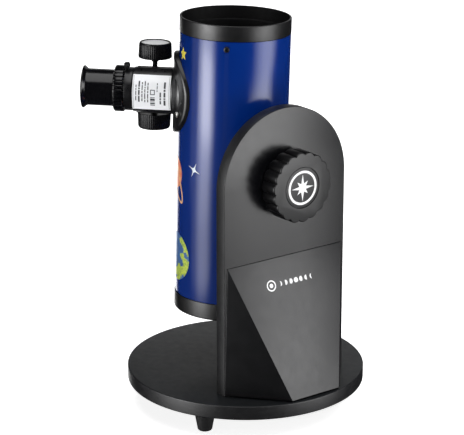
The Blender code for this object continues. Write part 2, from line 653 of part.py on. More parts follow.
# pinion: shaft and gear are one turned piece
def gear_outline():
    """Involute teeth at a 20 degree pressure angle, thinned for backlash."""
    base = PITCH_R * math.cos(math.radians(20))
    tip = PITCH_R + 0.6
    root = PITCH_R - 0.75

    def involute(r):
        return math.tan(math.acos(min(1.0, base / r))) - math.acos(min(1.0, base / r))
    half = TOOTH_HALF / PITCH_R + involute(PITCH_R)
    pts = []
    for k in range(GEAR_TEETH):
        mid = 2 * math.pi * (k + 0.5) / GEAR_TEETH + math.pi / 2
        flank = [(root, half), (base, half), (PITCH_R, half - involute(PITCH_R)), (tip, half - involute(tip))]
        for r, h in flank:
            pts.append((r * math.cos(mid - h), r * math.sin(mid - h)))
        for r, h in reversed(flank):
            pts.append((r * math.cos(mid + h), r * math.sin(mid + h)))
    return pts


part("pinion_shaft", turned([(0, -38.5), (2.0, -38.5), (2.3, -38.2), (2.3, 37.3), (2.0, 37.6), (0, 37.6)], 12),
     pinion, BLACK_STEEL, add=[layered([(z, gear_outline()) for z in (-4.2, 4.2)])])


def focus_knob(sign, out):
    """Boss, tapered grip and a dished end; out moves it along the shaft."""
    bm = turned([(r, z + out) for r, z in (
        (0, 21.4), (3.1, 21.4), (3.1, 25.2), (14.6, 25.2), (15.3, 25.7), (15.4, 26.4), (14.75, 38.6), (14.0, 39.5),
        (12.9, 39.5), (12.9, 38.2), (0, 38.2))], 28)
    if sign < 0:
        bmesh.ops.rotate(bm, verts=bm.verts[:], cent=(0, 0, 0), matrix=Matrix.Rotation(math.pi, 3, "X"))
    return bm


for name, sign, out in (("upper", 1, 0.0), ("lower", -1, 0.9)):
    low, high = sorted((20.0 * sign, (37.9 + out) * sign))
    part("focus_knob_" + name, focus_knob(sign, out), pinion, GLOSS, cut=[rod(2.65, low, high, 12)])
    low, high = sorted(((38.5 + out) * sign, (38.8 + out) * sign))
    part("knob_inlay_" + name, rod(12.6, low, high, 28), pinion, LABEL)

# ------------------------------------------------------------------ eyepiece
part("eyepiece_barrel",
     turned([(14.3, 70.0), (15.7, 70.0), (15.7, 103.6), (14.3, 103.6)], 32, "X"), eyepiece, STEEL)
part("eyepiece_body",
     turned([(16.0, 98.7), (16.8, 98.7), (16.8, 132.4), (19.44, 136.8), (19.1, 137.8), (18.2, 137.8),
             (10.0, 128.6), (8.2, 127.4), (8.2, 121.6), (7.0, 121.6), (7.0, 118.6), (13.4, 118.6),
             (13.4, 104.0), (16.0, 104.0)], 32, "X"), eyepiece, SATIN)
part("eyepiece_grip",
     turned([(17.1, 98.8), (19.8, 98.8), (21.06, 99.8), (21.06, 107.4), (20.2, 108.3), (17.1, 108.3)], 32, "X"),
     eyepiece, GLOSS)


def lens(radius, low, high, bulge, steps=20):
    """Double-convex lens: edge between low and high, faces bulge outwards."""
    front = [(radius * k / 3, high + bulge * (1 - (k / 3) ** 2)) for k in range(4)]
    back = [(radius * k / 3, low - bulge * (1 - (k / 3) ** 2)) for k in range(3, -1, -1)]
    return turned(front + back, steps, "X")


part("field_lens", lens(13.1, 105.6, 107.6, 1.2), eyepiece, GLASS)
part("eye_lens", lens(7.9, 123.2, 125.4, 0.9), eyepiece, GLASS)
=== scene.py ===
import math

import bmesh
import bpy
from mathutils import Matrix, Vector


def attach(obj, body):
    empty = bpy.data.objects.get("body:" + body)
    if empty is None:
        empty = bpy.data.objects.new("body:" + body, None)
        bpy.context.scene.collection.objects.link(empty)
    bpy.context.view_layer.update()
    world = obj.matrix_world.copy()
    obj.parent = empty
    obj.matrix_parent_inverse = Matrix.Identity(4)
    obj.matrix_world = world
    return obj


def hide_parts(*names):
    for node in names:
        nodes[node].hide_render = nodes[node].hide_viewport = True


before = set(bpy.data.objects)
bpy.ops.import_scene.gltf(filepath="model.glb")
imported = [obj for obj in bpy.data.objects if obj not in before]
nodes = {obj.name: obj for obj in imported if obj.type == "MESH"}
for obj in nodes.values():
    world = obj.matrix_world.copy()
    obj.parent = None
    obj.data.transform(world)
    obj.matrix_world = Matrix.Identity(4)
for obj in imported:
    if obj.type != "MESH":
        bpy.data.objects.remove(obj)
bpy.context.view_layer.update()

MM = 0.001

# ---------------------------------------------------------------- placement
BASE_X, BASE_Y = 9.16, 1.52
PIVOT_Z = 225.57
TILT = -1.81
TUBE_AXIS_X = -21.1
FOCUS_Z, FOCUS_ANGLE = 63.1, -132.3
PINION_X, PINION_Y = 75.2, -23.0
LOCK_X, LOCK_ANGLE = 96.4, 72.0
SADDLE_R, SADDLE_X, SADDLE_SEAT = 49.5, 5.3, 54.07
SADDLE_HOLES = [(29.0, -15.5), (-29.0, 17.5)]


def shift(x, y, z):
    return Matrix.Translation((x * MM, y * MM, z * MM))


def spin_by(deg, axis):
    return Matrix.Rotation(math.radians(deg), 4, axis)


M_STAND = shift(BASE_X, BASE_Y, 0)
M_KNOB = M_STAND @ shift(0, 0, PIVOT_Z)
M_TUBE = M_KNOB @ spin_by(TILT, "X") @ shift(TUBE_AXIS_X, 0, 0)
M_FOCUS = M_TUBE @ shift(0, 0, FOCUS_Z) @ spin_by(FOCUS_ANGLE, "Z")
M_PINION = M_FOCUS @ shift(PINION_X, PINION_Y, 0)
M_LOCK = M_FOCUS @ shift(LOCK_X, 0, 0) @ spin_by(LOCK_ANGLE - 90, "X")


# ------------------------------------------------------------ mesh builders
def polar(radius, degrees):
    a = math.radians(degrees)
    return radius * math.cos(a), radius * math.sin(a)


def rounded(profile, radius, steps=3, closed=True):
    """The profile with each corner replaced by a small arc."""
    pts = [Vector(p) for p in profile]
    n = len(pts)
    out = []
    for i, p in enumerate(pts):
        if not closed and i in (0, n - 1):
            out.append(tuple(p))
            continue
        a, b = pts[i - 1], pts[(i + 1) % n]
        u, v = (a - p), (b - p)
        lu, lv = u.length, v.length
        if lu < 1e-6 or lv < 1e-6:
            out.append(tuple(p))
            continue
        u, v = u / lu, v / lv
        turn = u.angle(v)
        r = radius[i] if isinstance(radius, (list, tuple)) else radius
        if r <= 0 or abs(turn - math.pi) < 0.15:
            out.append(tuple(p))
            continue
        t = min(r / math.tan(turn / 2), lu * 0.45, lv * 0.45)
        s, e = p + u * t, p + v * t
        for k in range(steps + 1):
            w = k / steps
            q = s * (1 - w) ** 2 + p * 2 * w * (1 - w) + e * w ** 2
            out.append(tuple(q))
    return out


def turned(profile, steps, along="Z"):
    bm = bmesh.new()
    n = len(profile)
    open_ended = profile[0][0] < 1e-6 and profile[-1][0] < 1e-6

    def put(x, y, h):
        return bm.verts.new((x, y, h) if along == "Z" else (h, y, -x))
    rings = []
    for r, h in profile:
        if r < 1e-6:
            rings.append([put(0, 0, h)])
        else:
            rings.append([put(*polar(r, 360.0 * k / steps), h) for k in range(steps)])
    pairs = [(i, i + 1) for i in range(n - 1)] + ([] if open_ended else [(n - 1, 0)])
    for i, j in pairs:
        a, b = rings[i], rings[j]
        if len(a) == 1 and len(b) == 1:
            continue
        for k in range(steps):
            m = (k + 1) % steps
            if len(a) == 1:
                bm.faces.new((a[0], b[m], b[k]))
            elif len(b) == 1:
                bm.faces.new((a[k], a[m], b[0]))
            else:
                bm.faces.new((a[k], a[m], b[m], b[k]))
    bmesh.ops.recalc_face_normals(bm, faces=bm.faces[:])
    return bm


def layered(layers, along="Z"):
    bm = bmesh.new()
    rings = []
    for h, outline in layers:
        rings.append([bm.verts.new((u, v, h) if along == "Z" else (h, u, v)) for u, v in outline])
    n = len(rings[0])
    for low, high in zip(rings, rings[1:]):
        for i in range(n):
            j = (i + 1) % n
            bm.faces.new((low[i], low[j], high[j], high[i]))
    bm.faces.new(list(reversed(rings[0])))
    bm.faces.new(rings[-1])
    bmesh.ops.recalc_face_normals(bm, faces=bm.faces[:])
    return bm


def block(x0, x1, y0, y1, z0, z1):
    return layered([(z, [(x0, y0), (x1, y0), (x1, y1), (x0, y1)]) for z in (z0, z1)])


def rod(radius, low, high, steps=32, along="Z"):
    return turned([(0, low), (radius, low), (radius, high), (0, high)], steps, along)


def moved(bm, offset=(0, 0, 0), turn=0.0, axis="Z"):
    if turn:
        bmesh.ops.rotate(bm, verts=bm.verts[:], cent=(0, 0, 0),
                         matrix=Matrix.Rotation(math.radians(turn), 3, axis))
    bmesh.ops.translate(bm, verts=bm.verts[:], vec=Vector(offset))
    return bm


def joined(*parts):
    out = bmesh.new()
    for bm in parts:
        tmp = bpy.data.meshes.new("tmp")
        bm.to_mesh(tmp)
        out.from_mesh(tmp)
        bpy.data.meshes.remove(tmp)
        bm.free()
    return out


def raw(bm, name="tmp"):
    mesh = bpy.data.meshes.new(name)
    bm.to_mesh(mesh)
    bm.free()
    ob = bpy.data.objects.new(name, mesh)
    bpy.context.scene.collection.objects.link(ob)
    return ob


def carve(bm, *steps):
    """Boolean steps ("UNION" | "DIFFERENCE" | "INTERSECT", bmesh), all in millimetres."""
    ob = raw(bm)
    cutters = []
    for op, other in steps:
        c = raw(other)
        cutters.append(c)
        mod = ob.modifiers.new("b", "BOOLEAN")
        mod.operation = op
        mod.solver = "EXACT"
        mod.object = c
    bpy.context.view_layer.update()
    deps = bpy.context.evaluated_depsgraph_get()
    mesh = bpy.data.meshes.new_from_object(ob.evaluated_get(deps))
    out = bmesh.new()
    out.from_mesh(mesh)
    bpy.data.meshes.remove(mesh)
    for o in [ob] + cutters:
        m = o.data
        bpy.data.objects.remove(o, do_unlink=True)
        bpy.data.meshes.remove(m)
    return out


def piece(name, bm, matrix, mat, body, stands_for=(), sharp=32, bevel=0.0, baked=False):
    bmesh.ops.scale(bm, verts=bm.verts[:], vec=(MM, MM, MM))
    if baked:
        bm.transform(matrix)
        matrix = Matrix.Identity(4)
    mesh = bpy.data.meshes.new(name)
    bm.to_mesh(mesh)
    bm.free()
    mesh.shade_smooth()
    mesh.set_sharp_from_angle(angle=math.radians(sharp))
    ob = bpy.data.objects.new(name, mesh)
    bpy.context.scene.collection.objects.link(ob)
    ob.matrix_world = matrix
    mesh.materials.append(mat)
    if bevel:
        mod = ob.modifiers.new("edge", "BEVEL")
        mod.width = bevel * MM
        mod.segments = 2
        mod.limit_method = "ANGLE"
        mod.angle_limit = math.radians(40)
        mod.harden_normals = False
    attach(ob, body)
    if stands_for:
        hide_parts(*stands_for)
    return ob


# ---------------------------------------------------------------- materials
def tree(name):
    mat = bpy.data.materials.new(name)
    mat.use_nodes = True
    nt = mat.node_tree
    return mat, nt, nt.nodes["Principled BSDF"]


def noise(nt, coords, scale, detail=3.0, rough=0.55, kind="noise"):
    n = nt.nodes.new("ShaderNodeTexNoise" if kind == "noise" else "ShaderNodeTexVoronoi")
    n.inputs["Scale"].default_value = scale
    if kind == "noise":
        n.inputs["Detail"].default_value = detail
        n.inputs["Roughness"].default_value = rough
    nt.links.new(coords, n.inputs["Vector"])
    return n


def ramp(nt, value, stops):
    r = nt.nodes.new("ShaderNodeValToRGB")
    els = r.color_ramp.elements
    while len(els) < len(stops):
        els.new(0.5)
    for e, (pos, col) in zip(els, stops):
        e.position = pos
        e.color = (*col, 1.0) if len(col) == 3 else col
    nt.links.new(value, r.inputs["Fac"])
    return r


def spread(nt, value, lo, hi, from_lo=0.3, from_hi=0.7):
    m = nt.nodes.new("ShaderNodeMapRange")
    m.inputs["From Min"].default_value = from_lo
    m.inputs["From Max"].default_value = from_hi
    m.inputs["To Min"].default_value = lo
    m.inputs["To Max"].default_value = hi
    nt.links.new(value, m.inputs["Value"])
    return m


def bumps(nt, height, strength, distance, normal=None):
    b = nt.nodes.new("ShaderNodeBump")
    b.inputs["Strength"].default_value = strength
    b.inputs["Distance"].default_value = distance
    nt.links.new(height, b.inputs["Height"])
    if normal is not None:
        nt.links.new(normal, b.inputs["Normal"])
    return b


def surface(name, color, vary=0.15, rough=(0.4, 0.5), cloud=60.0, grain=900.0, grain_depth=0.00003,
            grain_strength=0.25, metallic=0.0, coat=0.0, coat_rough=0.1, wave=0.0, spec=0.5, speck=None):
    """Painted or moulded finish: mottled colour, uneven gloss and a fine grain in the normal."""
    mat, nt, p = tree(name)
    co = nt.nodes.new("ShaderNodeTexCoord").outputs["Object"]
    big = noise(nt, co, cloud, 4.0)
    dark = tuple(c * (1 - vary) for c in color)
    light = tuple(min(1.0, c * (1 + vary)) for c in color)
    col = ramp(nt, big.outputs["Fac"], [(0.3, dark), (0.7, light)])
    out = col.outputs["Color"]
    if speck:
        spots = noise(nt, co, speck["scale"], 2.0, 0.6)
        mask = ramp(nt, spots.outputs["Fac"], [(speck["from"], (0, 0, 0)), (speck["to"], (1, 1, 1))])
        mix = nt.nodes.new("ShaderNodeMix")
        mix.data_type = "RGBA"
        mix.inputs["B"].default_value = (*speck["color"], 1.0)
        nt.links.new(mask.outputs["Color"], mix.inputs["Factor"])
        nt.links.new(out, mix.inputs["A"])
        out = mix.outputs["Result"]
    nt.links.new(out, p.inputs["Base Color"])
    mid = noise(nt, co, cloud * 3.1, 3.0)
    r = spread(nt, mid.outputs["Fac"], rough[0], rough[1])
    nt.links.new(r.outputs["Result"], p.inputs["Roughness"])
    fine = noise(nt, co, grain, 2.0, 0.6)
    b = bumps(nt, fine.outputs["Fac"], grain_strength, grain_depth)
    last = b
    if wave:
        slow = noise(nt, co, 130.0, 1.0)
        last = bumps(nt, slow.outputs["Fac"], wave, 0.0004, b.outputs["Normal"])
    nt.links.new(last.outputs["Normal"], p.inputs["Normal"])
    p.inputs["Metallic"].default_value = metallic
    p.inputs["Specular IOR Level"].default_value = spec
    if coat:
        p.inputs["Coat Weight"].default_value = coat
        p.inputs["Coat Roughness"].default_value = coat_rough
    return mat


BOARD_FACE = surface("board_face", (0.0026, 0.0026, 0.0034), 0.22, (0.22, 0.27), 38.0, 1500.0, 0.00010, 0.42,
                     speck={"scale": 1700.0, "from": 0.60, "to": 0.74, "color": (0.012, 0.012, 0.014)}, spec=0.43)
BOARD_EDGE = surface("board_edge", (0.0050, 0.0050, 0.0060), 0.25, (0.36, 0.46), 70.0, 1100.0, 0.00014, 0.60,
                     speck={"scale": 900.0, "from": 0.60, "to": 0.70, "color": (0.018, 0.018, 0.020)})
DISC_TOP_MAT = surface("disc_laminate", (0.0070, 0.0080, 0.0090), 0.18, (0.34, 0.42), 45.0, 1900.0, 0.00006, 0.35,
                       speck={"scale": 2100.0, "from": 0.62, "to": 0.76, "color": (0.020, 0.022, 0.024)}, spec=0.40)
BRACE_MAT = surface("brace_plastic", (0.0036, 0.0036, 0.0046), 0.10, (0.30, 0.36), 30.0, 2400.0, 0.00005, 0.45, spec=0.43)
KNOB_MAT = surface("knob_plastic", (0.0026, 0.0026, 0.0032), 0.10, (0.29, 0.35), 40.0, 2200.0, 0.00005, 0.40, spec=0.38)
BADGE_MAT = surface("badge_plastic", (0.0040, 0.0040, 0.0050), 0.08, (0.32, 0.38), 60.0, 2600.0, 0.00004, 0.30, spec=0.38)
BLUE_MAT = surface("tube_enamel", (0.0001, 0.0235, 0.196), 0.08, (0.40, 0.46), 14.0, 2600.0, 0.00001, 0.08,
                   coat=1.0, coat_rough=0.17, wave=0.02, spec=0.0)
# black inside paint, set darker than the other black finishes: partly the real paint, partly painted shade deep inside
# the tube
INNER_BLACK_AND_SHADE = surface("tube_inside_black_and_shade", (0.0015, 0.0015, 0.0018), 0.2, (0.55, 0.70), 80.0, 1500.0, 0.00004, 0.4, spec=0.16)
RING_MAT = surface("end_ring_plastic", (0.0040, 0.0040, 0.0045), 0.12, (0.32, 0.40), 60.0, 2300.0, 0.00003, 0.30)
HOUSE_MAT = surface("focuser_plastic", (0.0040, 0.0040, 0.0048), 0.15, (0.26, 0.34), 70.0, 2300.0, 0.00003, 0.28)
FOCUS_KNOB_MAT = surface("focus_knob_plastic", (0.0030, 0.0030, 0.0040), 0.15, (0.24, 0.32), 70.0, 1600.0, 0.00002, 0.20,
                         spec=0.22)
GLOSS_MAT = surface("gloss_plastic", (0.0020, 0.0020, 0.0028), 0.15, (0.14, 0.21), 70.0, 1600.0, 0.00002, 0.15)
RUBBER_MAT = surface("foot_rubber", (0.0045, 0.0045, 0.0050), 0.2, (0.55, 0.70), 120.0, 1800.0, 0.00006, 0.5, spec=0.35)
FELT_MAT = surface("friction_felt", (0.030, 0.028, 0.027), 0.3, (0.85, 0.95), 300.0, 2600.0, 0.0002, 0.8)
NYLON_MAT = surface("nylon", (0.78, 0.77, 0.72), 0.04, (0.42, 0.52), 70.0, 1200.0, 0.00003, 0.2)
STEEL_MAT = surface("zinc_plate", (0.60, 0.60, 0.58), 0.10, (0.24, 0.36), 220.0, 2600.0, 0.00002, 0.25, metallic=1.0)
CHROME_MAT = surface("barrel_chrome", (0.66, 0.66, 0.67), 0.04, (0.08, 0.14), 120.0, 2600.0, 0.00001, 0.1, metallic=1.0)
BLACK_STEEL_MAT = surface("black_oxide", (0.012, 0.012, 0.013), 0.2, (0.26, 0.36), 300.0, 2600.0, 0.00002, 0.2,
                          metallic=0.4)
WHITE_INK = surface("white_ink", (0.93, 0.93, 0.94), 0.02, (0.45, 0.55), 300.0, 2600.0, 0.00001, 0.1)
GREY_INK = surface("grey_ink", (0.030, 0.033, 0.038), 0.12, (0.45, 0.55), 300.0, 2600.0, 0.00001, 0.1)
YELLOW_INK = surface("yellow_ink", (0.98, 0.80, 0.06), 0.06, (0.40, 0.50), 120.0, 2600.0, 0.00001, 0.1, coat=0.6)
PALE_INK = surface("pale_ink", (0.82, 0.90, 1.0), 0.05, (0.40, 0.50), 200.0, 2600.0, 0.00001, 0.1, coat=0.6)
RIM_INK = surface("orange_line_ink", (0.98, 0.50, 0.22), 0.08, (0.40, 0.50), 200.0, 2600.0, 0.00001, 0.1, coat=0.6)


def banded(name, stops, axis, scale, distort):
    """Printed planet: soft wavy bands across the disc."""
    mat, nt, p = tree(name)
    co = nt.nodes.new("ShaderNodeTexCoord").outputs["Object"]
    w = nt.nodes.new("ShaderNodeTexWave")
    w.bands_direction = axis
    w.inputs["Scale"].default_value = scale
    w.inputs["Distortion"].default_value = distort
    w.inputs["Detail"].default_value = 2.0
    w.inputs["Detail Scale"].default_value = 2.0
    nt.links.new(co, w.inputs["Vector"])
    c = ramp(nt, w.outputs["Fac"], stops)
    nt.links.new(c.outputs["Color"], p.inputs["Base Color"])
    fine = noise(nt, co, 900.0, 2.0)
    r = spread(nt, fine.outputs["Fac"], 0.38, 0.48)
    nt.links.new(r.outputs["Result"], p.inputs["Roughness"])
    p.inputs["Coat Weight"].default_value = 0.6
    p.inputs["Coat Roughness"].default_value = 0.1
    return mat


def patched(name, sea, land, land_dark, scale, shore=None):
    """Printed planet: irregular land patches on a blue sea; shore = (centre, radius) keeps land near the rim."""
    mat, nt, p = tree(name)
    co = nt.nodes.new("ShaderNodeTexCoord").outputs["Object"]
    n = noise(nt, co, scale, 3.0, 0.5)
    height = n.outputs["Fac"]
    if shore:
        away = nt.nodes.new("ShaderNodeVectorMath")
        away.operation = "DISTANCE"
        nt.links.new(co, away.inputs[0])
        away.inputs[1].default_value = shore[0]
        rise = spread(nt, away.outputs["Value"], -0.26, 0.10, shore[1] * 0.35, shore[1])
        add = nt.nodes.new("ShaderNodeMath")
        add.operation = "ADD"
        nt.links.new(height, add.inputs[0])
        nt.links.new(rise.outputs["Result"], add.inputs[1])
        height = add.outputs["Value"]
    edge = ramp(nt, height, [(0.50, (0, 0, 0)), (0.515, (1, 1, 1))])
    n2 = noise(nt, co, scale * 5.0, 2.0, 0.6)
    green = ramp(nt, n2.outputs["Fac"], [(0.42, land_dark), (0.52, land)])
    n3 = noise(nt, co, scale * 1.7, 2.0, 0.5)
    water = ramp(nt, n3.outputs["Fac"], [(0.3, tuple(c * 0.7 for c in sea)), (0.7, sea)])
    mix = nt.nodes.new("ShaderNodeMix")
    mix.data_type = "RGBA"
    nt.links.new(edge.outputs["Color"], mix.inputs["Factor"])
    nt.links.new(water.outputs["Color"], mix.inputs["A"])
    nt.links.new(green.outputs["Color"], mix.inputs["B"])
    nt.links.new(mix.outputs["Result"], p.inputs["Base Color"])
    r = spread(nt, n2.outputs["Fac"], 0.38, 0.48)
    nt.links.new(r.outputs["Result"], p.inputs["Roughness"])
    p.inputs["Coat Weight"].default_value = 0.6
    p.inputs["Coat Roughness"].default_value = 0.1
    return mat


ORANGE_PLANET = banded("orange_planet", [(0.0, (0.96, 0.22, 0.09)), (0.5, (1.0, 0.28, 0.12)), (1.0, (1.0, 0.38, 0.18))],
                       "Z", 38.0, 2.5)
PLANET_SEA_CENTRE = (*(0.05 * v for v in polar(1.0, -121.0)), -0.080)
GREEN_PLANET = patched("green_planet", (0.035, 0.16, 0.46), (0.60, 0.72, 0.05), (0.28, 0.45, 0.05), 105.0,
                       (PLANET_SEA_CENTRE, 0.026))


def brushed(name, color, rough):
    """Fine concentric turning marks about the piece's own Z axis."""
    mat, nt, p = tree(name)
    co = nt.nodes.new("ShaderNodeTexCoord").outputs["Object"]
    w = nt.nodes.new("ShaderNodeTexWave")
    w.wave_type = "RINGS"
    w.rings_direction = "Z"
    w.inputs["Scale"].default_value = 900.0
    w.inputs["Distortion"].default_value = 1.5
    nt.links.new(co, w.inputs["Vector"])
    c = ramp(nt, w.outputs["Fac"], [(0.0, tuple(x * 0.92 for x in color)), (1.0, color)])
    nt.links.new(c.outputs["Color"], p.inputs["Base Color"])
    r = spread(nt, w.outputs["Fac"], rough, rough + 0.08, 0.0, 1.0)
    nt.links.new(r.outputs["Result"], p.inputs["Roughness"])
    b = bumps(nt, w.outputs["Fac"], 0.12, 0.00001)
    nt.links.new(b.outputs["Normal"], p.inputs["Normal"])
    p.inputs["Metallic"].default_value = 0.35
    return mat


INLAY_MAT = brushed("turned_aluminium", (0.84, 0.85, 0.86), 0.30)
LABEL_MAT = surface("label_film", (0.91, 0.92, 0.94), 0.03, (0.28, 0.38), 120.0, 2600.0, 0.00001, 0.1, coat=0.3)
MIRROR_MAT = surface("aluminised_glass", (0.92, 0.93, 0.94), 0.01, (0.015, 0.03), 40.0, 2000.0, 0.000001, 0.02,
                     metallic=1.0)


def lens_glass(name):
    """Coated lens seen against a dark barrel, polished: the opaque dark base colour is painted shade for the barrel
    seen through the glass, and its violet-green bloom is a painted reflection of the coating.
    """
    mat, nt, p = tree(name)
    lw = nt.nodes.new("ShaderNodeLayerWeight")
    lw.inputs["Blend"].default_value = 0.35
    co = nt.nodes.new("ShaderNodeTexCoord").outputs["Object"]
    n = noise(nt, co, 60.0, 2.0)
    # painted shade and painted coating reflection: a dark base colour with a violet-green tint
    c = ramp(nt, n.outputs["Fac"], [(0.35, (0.012, 0.020, 0.034)), (0.65, (0.020, 0.014, 0.034))])
    nt.links.new(c.outputs["Color"], p.inputs["Base Color"])
    r = spread(nt, n.outputs["Fac"], 0.02, 0.05)
    nt.links.new(r.outputs["Result"], p.inputs["Roughness"])
    p.inputs["Coat Weight"].default_value = 1.0
    p.inputs["Coat Roughness"].default_value = 0.02
    p.inputs["Coat Tint"].default_value = (0.75, 0.85, 1.0, 1.0)
    p.inputs["Specular IOR Level"].default_value = 0.8
    return mat


LENS_MAT = lens_glass("lens_painted_shade_and_bloom")

# materials for the CAD solids that stay as they are
for names, mat in (
        (("ground_board",), BOARD_EDGE), (("glide_disc", "azimuth_bushing", "altitude_bushing"), NYLON_MAT),
        (("azimuth_bolt", "azimuth_nut", "arm_screw_1", "arm_screw_2", "tension_stud", "secondary_bolt"), STEEL_MAT),
        (("altitude_hub", "mirror_cell", "spider", "secondary_holder", "drawtube", "rack"), RING_MAT),
        (("friction_pad",), FELT_MAT), (("secondary_mirror",), MIRROR_MAT), (("field_lens",), LENS_MAT),
        (("pinion_shaft",), BLACK_STEEL_MAT), (("eyepiece_barrel",), CHROME_MAT)):
    for n in names:
        nodes[n].data.materials.clear()
        nodes[n].data.materials.append(mat)
        nodes[n].data.shade_smooth()
        nodes[n].data.set_sharp_from_angle(angle=math.radians(32))

# ------------------------------------------------------------------- camera
AZ, EL, DIST = math.radians(53.48), math.radians(18.0), 1.8310
target = Vector((0.01715, -0.02000, 0.18300))
back = Vector((math.sin(AZ) * math.cos(EL), -math.cos(AZ) * math.cos(EL), math.sin(EL)))
cam_data = bpy.data.cameras.new("camera")
cam_data.lens = 157.40
cam_data.sensor_width = 36.0
cam_data.clip_end = 50.0
cam = bpy.data.objects.new("camera", cam_data)
bpy.context.scene.collection.objects.link(cam)
cam.location = target + back * DIST
cam.rotation_euler = (-back).to_track_quat("-Z", "Y").to_euler()
bpy.context.scene.camera = cam

# ------------------------------------------------------------------- stand
disc = carve(
    turned(rounded([(6.5, 23.6), (109.7, 23.6), (109.7, 36.5), (6.5, 36.5)], [0, 1.0, 1.0, 0], 4), 240),
    ("DIFFERENCE", joined(*[moved(turned([(0, 22), (5.3, 22), (5.3, 25.4), (2.5, 28.2), (2.5, 38), (0, 38)], 32),
                                  (52.6, y, 0)) for y in (-34, 34)])))
disc_ob = piece("base_disc_board", disc, M_STAND, DISC_TOP_MAT, "turntable", ("base_disc",))
disc_ob.data.materials.append(BOARD_EDGE)
for poly in disc_ob.data.polygons:
    if poly.normal.z < 0.75:
        poly.material_index = 1


def arm_outline(inset, steps=96):
    half = 67.3 - inset
    pts = [(-half, 36.8 + inset * 0.3), (half, 36.8 + inset * 0.3)]
    for k in range(steps + 1):
        u, v = polar(half, 180 * k / steps)
        pts.append((u, PIVOT_Z + v))
    return pts


ARM_IN, ARM_OUT = 46.6, 58.55
arm = carve(
    layered([(ARM_IN, arm_outline(0.5)), (ARM_IN + 0.07, arm_outline(0.25)), (ARM_IN + 0.25, arm_outline(0.07)),
             (ARM_IN + 0.5, arm_outline(0)), (ARM_OUT - 0.5, arm_outline(0)), (ARM_OUT - 0.25, arm_outline(0.07)),
             (ARM_OUT - 0.07, arm_outline(0.25)), (ARM_OUT, arm_outline(0.5))], along="X"),
    ("DIFFERENCE", joined(moved(rod(9.4, 40, 65, 48, "X"), (0, 0, PIVOT_Z)),
                          *[moved(rod(2.3, 40, 65, 24, "X"), (0, y, 54)) for y in (-46, 46)])),
    ("DIFFERENCE", joined(*[moved(rod(2.5, 30, 76, 24), (52.6, y, 0)) for y in (-34, 34)])))
arm_ob = piece("side_arm_board", arm, M_STAND, BOARD_FACE, "turntable", ("side_arm",))
arm_ob.data.materials.append(BOARD_EDGE)
for poly in arm_ob.data.polygons:
    if abs(poly.normal.x) < 0.75:
        poly.material_index = 1


def wedge(back_x, lip, low, high, low_half, high_half, foot_x, foot_half):
    bm = bmesh.new()
    v = {}
    for key, x in (("b", back_x), ("l", lip)):
        for s in (-1, 1):
            v[key, "low", s] = bm.verts.new((x, s * low_half, low))
            v[key, "high", s] = bm.verts.new((x, s * high_half, high))
    for s in (-1, 1):
        v["foot", s] = bm.verts.new((foot_x, s * foot_half, low))
    bm.faces.new((v["b", "low", -1], v["b", "high", -1], v["b", "high", 1], v["b", "low", 1]))
    for s in (-1, 1):
        bm.faces.new((v["b", "low", s], v["b", "high", s], v["l", "high", s], v["l", "low", s]))
        bm.faces.new((v["l", "low", s], v["l", "high", s], v["foot", s]))
    bm.faces.new((v["b", "high", -1], v["b", "high", 1], v["l", "high", 1], v["l", "high", -1]))
    bm.faces.new((v["l", "high", -1], v["l", "high", 1], v["foot", 1], v["foot", -1]))
    bm.faces.new((v["b", "low", -1], v["b", "low", 1], v["l", "low", 1], v["foot", 1],
                  v["foot", -1], v["l", "low", -1]))
    bmesh.ops.recalc_face_normals(bm, faces=bm.faces[:])
    return bm


BRACE_BACK, BRACE_LIP = 58.62, 59.25
brace = wedge(BRACE_BACK, BRACE_LIP, 38.0, 156.7, 67.3, 64.3, 105.1, 26.5)
bmesh.ops.bevel(brace, geom=brace.edges[:] + brace.verts[:], offset=0.28, segments=3, profile=0.5, affect="EDGES")
piece("arm_brace_moulding", brace, M_STAND, BRACE_MAT, "turntable", ("arm_brace",), sharp=40)

for i, a in enumerate((-62.7, 57.3, 177.3), 1):
    foot = turned(rounded([(0, 0), (5.7, 0), (6.65, 1.0), (9.2, 15.3), (8.5, 16.0), (3.1, 16.0), (3.1, 19.0), (0, 19.0)],
                          [0, 0.9, 0.9, 0.5, 0.3, 0, 0.5, 0], 3, closed=False), 64)
    piece("rubber_foot_moulding_%d" % i, moved(foot, (*polar(83.8, a), 0)), M_STAND, RUBBER_MAT, "ground_stand",
          ("rubber_foot_%d" % i,))


# ------------------------------------------------------------------- screws
def cross_screw(shank_r, shank_low, seat, head_r, head_h, along="X", steps=40):
    """Pan-head screw with a cross recess; the head rises from seat."""
    top = seat + head_h
    prof = [(0, shank_low), (shank_r * 0.6, shank_low), (shank_r, shank_low + shank_r * 0.6), (shank_r, seat),
            (head_r, seat), (head_r, seat + head_h * 0.45), (head_r * 0.86, seat + head_h * 0.80),
            (head_r * 0.55, seat + head_h * 0.97), (0, top)]
    w, d = head_r * 0.17, head_r * 0.62
    z0 = top - head_h * 0.62
    body = turned(rounded(prof, [0, 0, 0, 0, 0, 0.2, 0.3, 0.3, 0], 2, closed=False), steps, "Z")
    out = carve(body, ("DIFFERENCE", block(-d, d, -w, w, z0, top + 1)), ("DIFFERENCE", block(-w, w, -d, d, z0, top + 1)))
    if along == "X":
        bmesh.ops.rotate(out, verts=out.verts[:], cent=(0, 0, 0), matrix=Matrix.Rotation(math.radians(90), 3, "Y"))
    return out


